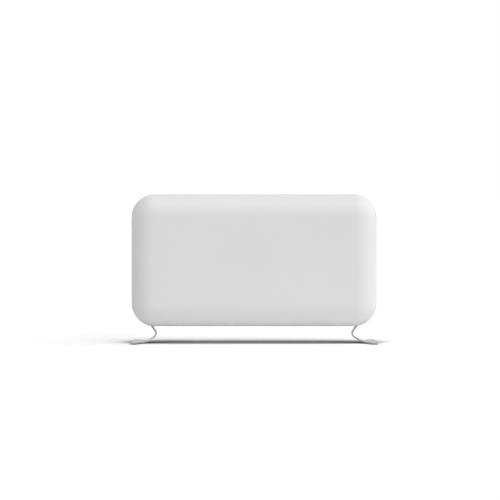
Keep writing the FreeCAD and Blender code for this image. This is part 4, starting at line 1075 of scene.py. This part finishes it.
class HEATER_OT_screws(bpy.types.Operator):
    """Build the screws that show on the back, the underside and the grilles"""

    bl_idname = "heater.screws"
    bl_label = "Screws"

    def execute(self, context):
        size = context.scene.heater.fasteners
        pan = {
            "Head Radius": size.head_radius,
            "Head Height": size.head_height,
            "Under Share": 1.0,
            "Crown": size.crown,
            "Base": 0.0,
            "Shank Radius": size.shank_radius,
            "Shank Length": size.shank_length,
            "Recess": size.recess,
            "Recess Width": size.recess_width,
        }
        flush = {
            **pan,
            "Head Height": size.sink,
            "Under Share": size.shank_radius * size.sink_foot / size.head_radius,
            "Crown": 0.0,
            "Base": -size.sink,
        }
        tree = screw_set(pan)
        for node, facing in (("rear_screws", BACK), ("panel_screws", BACK), ("base_screws", DOWN)):
            places = [self.seat(box, facing, size.head_height) for box in screw_places(node)]
            dress(tree.grow(f"{node}_pan", pan, places, [facing] * len(places)), node)
        facings = [outer_face(middle)[1] for middle in screw_middles("grille_screws")]
        boxes = screw_places("grille_screws")
        places = [self.seat(box, facing, 0.0) for box, facing in zip(boxes, facings)]
        dress(tree.grow("grille_screws_flush", flush, places, facings), "grille_screws")
        return {"FINISHED"}

    def seat(self, box, facing, head_height):
        """Middle of a screw's outer face, less the height of its head."""
        low, high = box
        return (low + high) / 2 + facing * (abs((high - low).dot(facing)) / 2 - head_height)


# Feet
FOOT_STEP = 0.0012
SECTION_GAP = 0.00004
SECTION_DIGITS = 6


def meet(point, way, other_point, other_way):
    """Where two lines in a plane cross."""
    gap = other_point - point
    turn = way.x * other_way.y - way.y * other_way.x
    return point + way * ((gap.x * other_way.y - gap.y * other_way.x) / turn)


def foot_route(foot):
    """Middle line of the right foot from its outer end to the top of its tab, as x and z."""
    low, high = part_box("foot_right")
    start = Vector((high.x, low.z + foot.thick / 2))
    plate_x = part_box("end_plate_right")[1].x
    top = Vector((plate_x + foot.thick / 2, high.z))
    centre = Vector((SHELL_HIGH.x - foot.waist_inset + foot.waist_bend, foot.waist_rise))
    slope, lean = foot.slope, foot.lean
    slope_way = Vector((-math.cos(slope), math.sin(slope)))
    lean_way = Vector((math.sin(lean), math.cos(lean)))
    slope_point = centre - Vector((math.sin(slope), math.cos(slope))) * foot.waist_bend
    lean_point = centre + Vector((-math.cos(lean), math.sin(lean))) * foot.waist_bend
    corners = [
        start,
        meet(start, Vector((-1.0, 0.0)), slope_point, slope_way),
        meet(slope_point, slope_way, lean_point, lean_way),
        meet(lean_point, lean_way, top, Vector((0.0, -1.0))),
        top,
    ]
    return rounded_route(corners, (foot.floor_bend, foot.waist_bend, foot.tab_bend), FOOT_STEP)


def foot_plan(foot):
    """Half width of the foot against x, from the outer end to the neck."""
    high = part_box("foot_right")[1]
    neck = foot.neck / 2
    bar_x = high.x - foot.bar
    corners = [
        Vector((high.x, 0.0)),
        Vector((high.x, high.y)),
        Vector((bar_x, high.y)),
        Vector((bar_x - foot.flare, neck)),
        Vector((SHELL_HIGH.x - foot.waist_inset * 2, neck)),
    ]
    return rounded_route(corners, (foot.corner, foot.corner, foot.flare_bend), FOOT_STEP / 2)


def between(pairs, x):
    """Value at x on a line of (x, value) pairs that falls in x."""
    if x >= pairs[0][0]:
        return pairs[0][1]
    for (x0, value0), (x1, value1) in zip(pairs, pairs[1:]):
        if x1 <= x <= x0 and x0 > x1:
            return value0 + (value1 - value0) * (x0 - x) / (x0 - x1)
    return pairs[-1][1]


def foot_sections(foot):
    """Middle point, upward normal and half width of each cross-section of the right foot."""
    route = foot_route(foot)
    waist = min(range(len(route)), key=lambda i: route[i].x)
    falling = [tuple(point) for point in route[: waist + 1]]
    plan = [tuple(point) for point in foot_plan(foot)[1:]]
    marks = {round(x, SECTION_DIGITS) for x, value in falling + plan if x >= route[waist].x}
    xs = sorted(marks, reverse=True)
    kept = [x for i, x in enumerate(xs) if i == 0 or xs[i - 1] - x > SECTION_GAP]
    line = [(Vector((x, between(falling, x))), between(plan, x)) for x in kept]
    line += [(point, foot.neck / 2) for point in route[waist + 1 :]]
    sections = []
    for i, (point, half) in enumerate(line):
        ahead = line[min(i + 1, len(line) - 1)][0]
        behind = line[max(i - 1, 0)][0]
        way = (ahead - behind).normalized()
        sections.append((point, Vector((way.y, -way.x)), half))
    return sections


class HEATER_OT_feet(bpy.types.Operator):
    """Build the two feet of bent strip"""

    bl_idname = "heater.feet"
    bl_label = "Feet"

    def execute(self, context):
        foot = context.scene.heater.foot
        for node, side in (("foot_right", 1.0), ("foot_left", -1.0)):
            rings = []
            for point, normal, half in foot_sections(foot):
                upper = point + normal * foot.thick / 2
                lower = point - normal * foot.thick / 2
                corners = ((upper, half), (upper, -half), (lower, -half), (lower, half))
                rings.append([(side * corner.x, y, corner.y) for corner, y in corners])
            piece = new_piece(f"{node}_strip", loft(rings))
            cut(piece, self.bolt_holes(foot, side))
            soften(piece, foot.edge)
            dress(piece, node)
        return {"FINISHED"}

    def bolt_holes(self, foot, side):
        cuts = bmesh.new()
        low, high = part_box("foot_right")
        reach = Vector((side * (high.x - low.x) / 2, 0.0, 0.0))
        for middle in screw_middles("foot_bolts"):
            if middle.x * side > 0:
                add_rod(cuts, (side * (low.x + high.x) / 2, *middle.yz), reach, foot.bolt_hole)
        return cuts


# Controls on the back
COPY_WELD = 0.000002
COPY_FLAT = math.radians(0.5)
LONG_TICK = 1.5
BOLD_TICK = 1.6
FLUTE_STEPS = 18
EASE_STEPS = 4
GRIP_STEPS = 6
DISH_RUN = 3
KNOB_CREASE = 38.0
POINTER_ENDS = (0.3, 0.95)
ROCKER_STEPS = 16
ROCKER_MARK = 0.62
LAMP_SIDES = 64
LAMP_STEPS = 10
GLAND_STEPS = 5
RIB_SIDES = 8
RIB_START = 1.15
RIB_SHARPNESS = 3
TURNED_CREASE = 40.0


def copied(node, name, width):
    """Copy of a node's solid with rounded edges."""
    shape = bmesh.new()
    shape.from_mesh(frame["nodes"][node].data)
    bmesh.ops.remove_doubles(shape, verts=shape.verts, dist=COPY_WELD)
    bmesh.ops.dissolve_limit(shape, angle_limit=COPY_FLAT, verts=shape.verts, edges=shape.edges)
    dress(soften(new_piece(name, shape), width), node)


def dial_place(middle, y):
    """Turns a drawing seen from the back, x to the right and y up, on to the plane at y."""
    facing = Matrix(((-1, 0, 0), (0, 0, 1), (0, 1, 0))).to_4x4()
    return Matrix.Translation((middle.x, y, middle.z)) @ facing


def add_text(shape, text, height, thick, place):
    """Add raised characters to a shape."""
    curve = bpy.data.curves.new("characters", "FONT")
    curve.body = text
    curve.size = height
    curve.extrude = thick / 2
    curve.align_x = "CENTER"
    curve.align_y = "CENTER"
    holder = link_object("characters", curve)
    mesh = evaluated_mesh(holder)
    mesh.transform(place)
    shape.from_mesh(mesh)
    bpy.data.objects.remove(holder)
    bpy.data.meshes.remove(mesh)


def dial_ticks(inputs):
    """Tree of tick marks round an arc, with a longer one at each number."""
    tree = Growth("dial_ticks", inputs)
    size = tree.size
    index = tree.add("GeometryNodeInputIndex")
    turn = (index / (size["Ticks"] - 1.0) - 0.5) * size["Sweep"]
    reach = size["Inner Radius"] + size["Tick Length"] * 0.5
    place = tree.vector(tree.math("SINE", turn) * reach, tree.math("COSINE", turn) * reach)
    points = tree.add("GeometryNodePoints", {"Count": size["Ticks"], "Position": place})
    tick = tree.block(size["Tick Width"], size["Tick Length"], size["Thickness"])
    short = tree.math("MINIMUM", index % size["Step"], 1.0)
    bold = BOLD_TICK - short * (BOLD_TICK - 1.0)
    long = LONG_TICK - short * (LONG_TICK - 1.0)
    placing = {"Rotation": tree.vector(z=turn * -1.0), "Scale": tree.vector(bold, long, 1.0)}
    return tree.close(tree.repeated(points, tick, placing), "white_ink")


def knob_sweep():
    turn = next(joint for joint in frame["joints"] if joint["name"] == "thermostat_turn")
    low, high = turn["range_deg"]
    return math.radians(high - low)


class HEATER_OT_control_panel(bpy.types.Operator):
    """Build the control plate with its printed dial"""

    bl_idname = "heater.control_panel"
    bl_label = "Control Panel"

    def execute(self, context):
        panel, skirt = context.scene.heater.panel, context.scene.heater.knob.skirt
        copied("control_panel", "control_panel_moulded", panel.plate_edge)
        sweep = knob_sweep()
        inputs = {
            "Ticks": panel.highest * panel.ticks + 1,
            "Step": panel.ticks,
            "Sweep": sweep,
            "Inner Radius": skirt + panel.tick_gap,
            "Tick Length": panel.tick_length,
            "Tick Width": panel.tick_width,
            "Thickness": panel.ink,
        }
        surface = PANEL_HIGH.y + panel.ink / 2
        place = dial_place(middle_of("thermostat_knob"), surface)
        ticks = dial_ticks(inputs).grow("panel_print", inputs)
        ticks.data.transform(place)
        shape = bmesh.new()
        shape.from_mesh(ticks.data)
        reach = skirt + panel.number_gap
        for number in range(panel.highest + 1):
            turn = (number / panel.highest - 0.5) * sweep
            spot = Matrix.Translation((math.sin(turn) * reach, math.cos(turn) * reach, 0.0))
            add_text(shape, str(number), panel.number_height, panel.ink, place @ spot)
        for node, text in (("switch_body_low", "1"), ("switch_body_high", "2")):
            low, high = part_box(node)
            above = Matrix.Translation((0.0, (high.z - low.z) / 2 + panel.switch_gap, 0.0))
            spot = dial_place(middle_of(node), surface) @ above
            add_text(shape, text, panel.switch_height, panel.ink, spot)
        shape.to_mesh(ticks.data)
        shape.free()
        mark(ticks, "heater")
        return {"FINISHED"}


class HEATER_OT_thermostat_knob(bpy.types.Operator):
    """Build the fluted thermostat knob with its pointer"""

    bl_idname = "heater.thermostat_knob"
    bl_label = "Thermostat Knob"

    def execute(self, context):
        knob = context.scene.heater.knob
        low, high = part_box("thermostat_knob")
        shaft_low, shaft_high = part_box("thermostat_shaft")
        middle = (low + high) / 2
        bore = (shaft_high.x - shaft_low.x) / 2 + knob.fit
        skirt, grip, edge, ease, dish = knob.skirt, knob.grip, knob.edge, knob.ease, knob.dish
        step_y = low.y + knob.skirt_height
        rim = grip - edge * 2
        profile = [
            (shaft_high.y + knob.fit, bore),
            (low.y, bore),
            *turned_arc(low.y + ease, skirt - ease, ease, -90, 0, EASE_STEPS),
            *turned_arc(step_y - ease, skirt - ease, ease, 0, 90, EASE_STEPS),
            *turned_arc(step_y + ease, grip + ease, ease, -90, -180, EASE_STEPS),
            *turned_arc(high.y - edge, grip - edge, edge, 0, 90, GRIP_STEPS),
            (high.y, rim),
            (high.y - dish / 2, rim - dish),
            (high.y - dish, rim - dish * DISH_RUN),
        ]
        trim = self.flutes(knob)
        sides = knob.flutes * FLUTE_STEPS
        rings = []
        for y, radius in profile:
            fluted = y > step_y + ease / 2 and radius > bore * 2
            rings += turned_rings(middle, [(y, radius)], sides, trim if fluted else None)
        turned_piece("thermostat_knob_moulded", "thermostat_knob", rings, KNOB_CREASE)
        self.pointer(knob, dial_place(middle, high.y - dish), rim)
        return {"FINISHED"}

    def flutes(self, knob):
        """Radius of the fluted grip by angle."""
        grip, flute = knob.grip, knob.flute_radius
        pitch = math.tau / knob.flutes

        def trim(turn, radius):
            off = (turn + pitch / 2) % pitch - pitch / 2
            across = grip * math.sin(off)
            if abs(across) >= flute:
                return radius
            return grip * math.cos(off) - math.sqrt(flute * flute - across * across)

        return trim

    def pointer(self, knob, place, rim):
        """White pointer let into the knob's face, at the first mark of the dial."""
        shape = bmesh.new()
        half, rise = knob.pointer_half, knob.pointer_rise
        near, far = (rim * share for share in POINTER_ENDS)
        add_block(shape, (-half, near, -rise), (half, far, rise))
        shape.transform(place @ Matrix.Rotation(knob_sweep() / 2, 4, "Z"))
        piece = soften(new_piece("knob_pointer", shape), rise / 2, FINE_EDGE_STEPS)
        mark(piece, NODE_BODY["thermostat_knob"])


class HEATER_OT_rocker_switches(bpy.types.Operator):
    """Build the two rocker switches with their frames"""

    bl_idname = "heater.rocker_switches"
    bl_label = "Rocker Switches"

    def execute(self, context):
        heater = context.scene.heater
        for heat in ("low", "high"):
            body = f"switch_body_{heat}"
            copied(body, f"switch_frame_{heat}", heater.panel.edge)
            pivot = middle_of(body)
            pivot.y = PANEL_HIGH.y - heater.rocker.pivot
            tilt = Matrix.Translation(pivot) @ Matrix.Rotation(heater.rocker.tilt, 4, "X")
            self.rocker(heater.rocker, heater.panel, f"rocker_{heat}", tilt)
        return {"FINISHED"}

    def rocker(self, rocker, panel, node, tilt):
        """A rocker with a hollow face, and its marks."""
        reach, dip, heel = rocker.reach, rocker.dip, rocker.heel
        hollow = rocker.crown - dip
        bow = (reach * reach + hollow * hollow) / (2 * hollow)

        def face_y(z):
            return dip + bow - math.sqrt(bow * bow - z * z)

        heights = [reach * (2 * i / ROCKER_STEPS - 1) for i in range(ROCKER_STEPS + 1)]
        face = [(face_y(z), z) for z in heights]
        profile = [(-dip, reach / 2), (-dip, -reach / 2), (heel, -reach), *face, (heel, reach)]
        rings = [[(x, y, z) for y, z in profile] for x in (-rocker.half_width, rocker.half_width)]
        piece = soften(new_piece(f"{node}_moulded", loft(rings)), panel.edge)
        piece.data.transform(tilt)
        dress(piece, node)
        marks = bmesh.new()
        for text, z in (("O", reach * ROCKER_MARK), ("I", -reach * ROCKER_MARK)):
            lean = Matrix.Rotation(-math.asin(z / bow), 4, "X")
            spot = tilt @ Matrix.Translation((0.0, face_y(z) + panel.ink / 2, z)) @ lean
            add_text(marks, text, panel.rocker_height, panel.ink * 2, spot @ dial_place(Vector(), 0.0))
        mark(new_piece(f"{node}_marks", marks), NODE_BODY[node])


class HEATER_OT_pilot_lamp(bpy.types.Operator):
    """Build the amber pilot lamp"""

    bl_idname = "heater.pilot_lamp"
    bl_label = "Pilot Lamp"

    def execute(self, context):
        lamp = context.scene.heater.lamp
        low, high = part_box("pilot_lamp")
        seat = PANEL_HIGH.y
        rise = high.y - seat
        ease = rise * lamp.ease_share
        flange = (high.x - low.x) / 2
        flange_y = seat + rise * lamp.flange_share
        stem = flange - lamp.flange
        lens = stem + lamp.lens_step
        lens_y = seat + rise * lamp.lens_share
        profile = [
            (low.y, stem - ease),
            (low.y + ease, stem),
            (seat, stem),
            (seat, flange),
            *turned_arc(flange_y - ease, flange - ease, ease, 0, 90, EASE_STEPS),
            (lens_y, lens + lamp.groove),
            *turned_arc(lens_y, lamp.tip, lens, 0, 90, LAMP_STEPS, high.y - lens_y),
        ]
        rings = turned_rings((low + high) / 2, profile, LAMP_SIDES)
        turned_piece("pilot_lamp_lens", "pilot_lamp", rings, TURNED_CREASE)
        return {"FINISHED"}


class HEATER_OT_cord_gland(bpy.types.Operator):
    """Build the ribbed cord gland"""

    bl_idname = "heater.cord_gland"
    bl_label = "Cord Gland"

    def execute(self, context):
        gland = context.scene.heater.gland
        low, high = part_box("cord_gland")
        flange, barrel, bore, ease = (high.x - low.x) / 2, gland.barrel, gland.bore, gland.edge
        profile = [
            (low.y, bore),
            (low.y, barrel),
            (COVER_HIGH.y, barrel),
            (COVER_HIGH.y, flange),
            *turned_arc(high.y - ease, flange - ease, ease, 0, 90, GLAND_STEPS),
            *turned_arc(high.y - ease, bore + ease, ease, 90, 180, GLAND_STEPS),
        ]

        def trim(turn, radius):
            if radius < barrel * RIB_START:
                return radius
            wave = 0.5 + 0.5 * math.cos(turn * gland.ribs)
            return radius - gland.groove * wave**RIB_SHARPNESS

        rings = turned_rings((low + high) / 2, profile, gland.ribs * RIB_SIDES, trim)
        turned_piece("cord_gland_ribbed", "cord_gland", rings, TURNED_CREASE, looped=True)
        return {"FINISHED"}


class HEATER_OT_inner_parts(bpy.types.Operator):
    """Give every remaining solid of the frame its finish"""

    bl_idname = "heater.inner_parts"
    bl_label = "Inner Parts"

    def execute(self, context):
        for node, solid in frame["nodes"].items():
            if not solid.hide_render:
                paint_over(solid, NODE_SLOT[node])
        return {"FINISHED"}


# Stage
CONTACT_SAMPLES = 16
SENSOR_WIDTH = 36.0
FAR_END = 1000.0


def seen_directly(graph):
    """One for rays from the camera, or by way of metal or glass."""
    camera = graph.add("ShaderNodeLightPath", output="Is Camera Ray")
    rays = camera + camera.beside("Is Glossy Ray") + camera.beside("Is Transmission Ray")
    return graph.math("MINIMUM", rays, 1.0)


class HEATER_OT_stage(bpy.types.Operator):
    """Set up the floor, the light and the camera"""

    bl_idname = "heater.stage"
    bl_label = "Stage"

    def execute(self, context):
        stage = context.scene.heater.stage
        self.floor(stage)
        self.sky(context.scene, stage)
        self.sun("side", stage.side, stage.side_from, stage.side_spread)
        self.sun("top", stage.top, stage.top_from, stage.top_spread)
        self.camera(context.scene, stage)
        context.scene.view_settings.view_transform = "Standard"
        return {"FINISHED"}

    def floor(self, stage):
        """Floor whose colour, for the rays that show it, holds a contact shadow painted from ambient occlusion
        close to the part.
        """
        shape = bmesh.new()
        bmesh.ops.create_grid(shape, x_segments=1, y_segments=1, size=stage.floor_reach)
        floor = new_piece("floor", shape)
        constants = {"Roughness": 1.0, "Specular IOR Level": 0.0, "Emission Strength": 1.0}
        finish = Finish("floor_white", constants)
        seen = seen_directly(finish)
        lean = {"Distance": stage.contact_reach, "Normal": finish.vector(*stage.contact_from)}
        # Painted shadow: ambient occlusion, leaning towards the front and top, darkens the floor's colour under
        # and behind the casing.
        clear = finish.add("ShaderNodeAmbientOcclusion", lean, "AO", samples=CONTACT_SAMPLES)
        share = (clear - stage.contact_full) / (stage.contact_end - stage.contact_full)
        tone = finish.blend(share, stage.contact_floor, stage.floor)
        glow = shade(stage.floor, stage.floor_lift)
        channels = {
            "Base Color": finish.blend(seen, stage.floor_bounce, tone),
            "Emission Color": finish.blend(seen, (0.0, 0.0, 0.0), glow),
        }
        finish.paint(channels)
        floor.data.materials.append(finish.material)

    def sky(self, scene, stage):
        scene.world = bpy.data.worlds.new("studio")
        scene.world.use_nodes = True
        graph = Graph(scene.world.node_tree)
        graph.tree.nodes.clear()
        strength = stage.sky + seen_directly(graph) * (1.0 - stage.sky)
        white = {"Color": (1.0, 1.0, 1.0, 1.0), "Strength": strength}
        graph.add("ShaderNodeOutputWorld", {"Surface": graph.add("ShaderNodeBackground", white)})

    def sun(self, name, strength, source, spread):
        light = bpy.data.lights.new(name, "SUN")
        light.energy = strength
        light.angle = spread
        holder = link_object(name, light)
        holder.rotation_mode = "QUATERNION"
        holder.rotation_quaternion = Vector(source).to_track_quat("Z", "Y")

    def camera(self, scene, stage):
        lens = bpy.data.cameras.new("camera")
        lens.lens = stage.lens
        lens.sensor_width = SENSOR_WIDTH
        lens.clip_end = FAR_END
        holder = link_object("camera", lens)
        holder.location = stage.camera_place
        holder.rotation_euler = (math.pi / 2 - stage.camera_drop, 0.0, 0.0)
        scene.camera = holder


class HEATER_PT_build(bpy.types.Panel):
    """Lists the steps that dress the heater"""

    bl_idname = "HEATER_PT_build"
    bl_label = "Convector Heater"
    bl_space_type = "VIEW_3D"
    bl_region_type = "UI"
    bl_category = "Heater"

    def draw(self, context):
        for step in STEPS:
            self.layout.operator(step.bl_idname)


STEPS = (
    HEATER_OT_stage,
    HEATER_OT_front_shell,
    HEATER_OT_rear_cover,
    HEATER_OT_grilles,
    HEATER_OT_screws,
    HEATER_OT_feet,
    HEATER_OT_control_panel,
    HEATER_OT_thermostat_knob,
    HEATER_OT_rocker_switches,
    HEATER_OT_pilot_lamp,
    HEATER_OT_cord_gland,
    HEATER_OT_inner_parts,
)
GROUPS = (
    HEATER_PG_casing,
    HEATER_PG_grille,
    HEATER_PG_foot,
    HEATER_PG_panel,
    HEATER_PG_knob,
    HEATER_PG_rocker,
    HEATER_PG_lamp,
    HEATER_PG_gland,
    HEATER_PG_fasteners,
    HEATER_PG_stage,
    HEATER_PG_settings,
)
CLASSES = (*GROUPS, *STEPS, HEATER_PT_build)


def register():
    for group in CLASSES:
        bpy.utils.register_class(group)
    bpy.types.Scene.heater = PointerProperty(type=HEATER_PG_settings)


def unregister():
    del bpy.types.Scene.heater
    for group in reversed(CLASSES):
        bpy.utils.unregister_class(group)


def main():
    register()
    for step in STEPS:
        space, name = step.bl_idname.split(".")
        getattr(getattr(bpy.ops, space), name)()


if __name__ == "__main__":
    main()
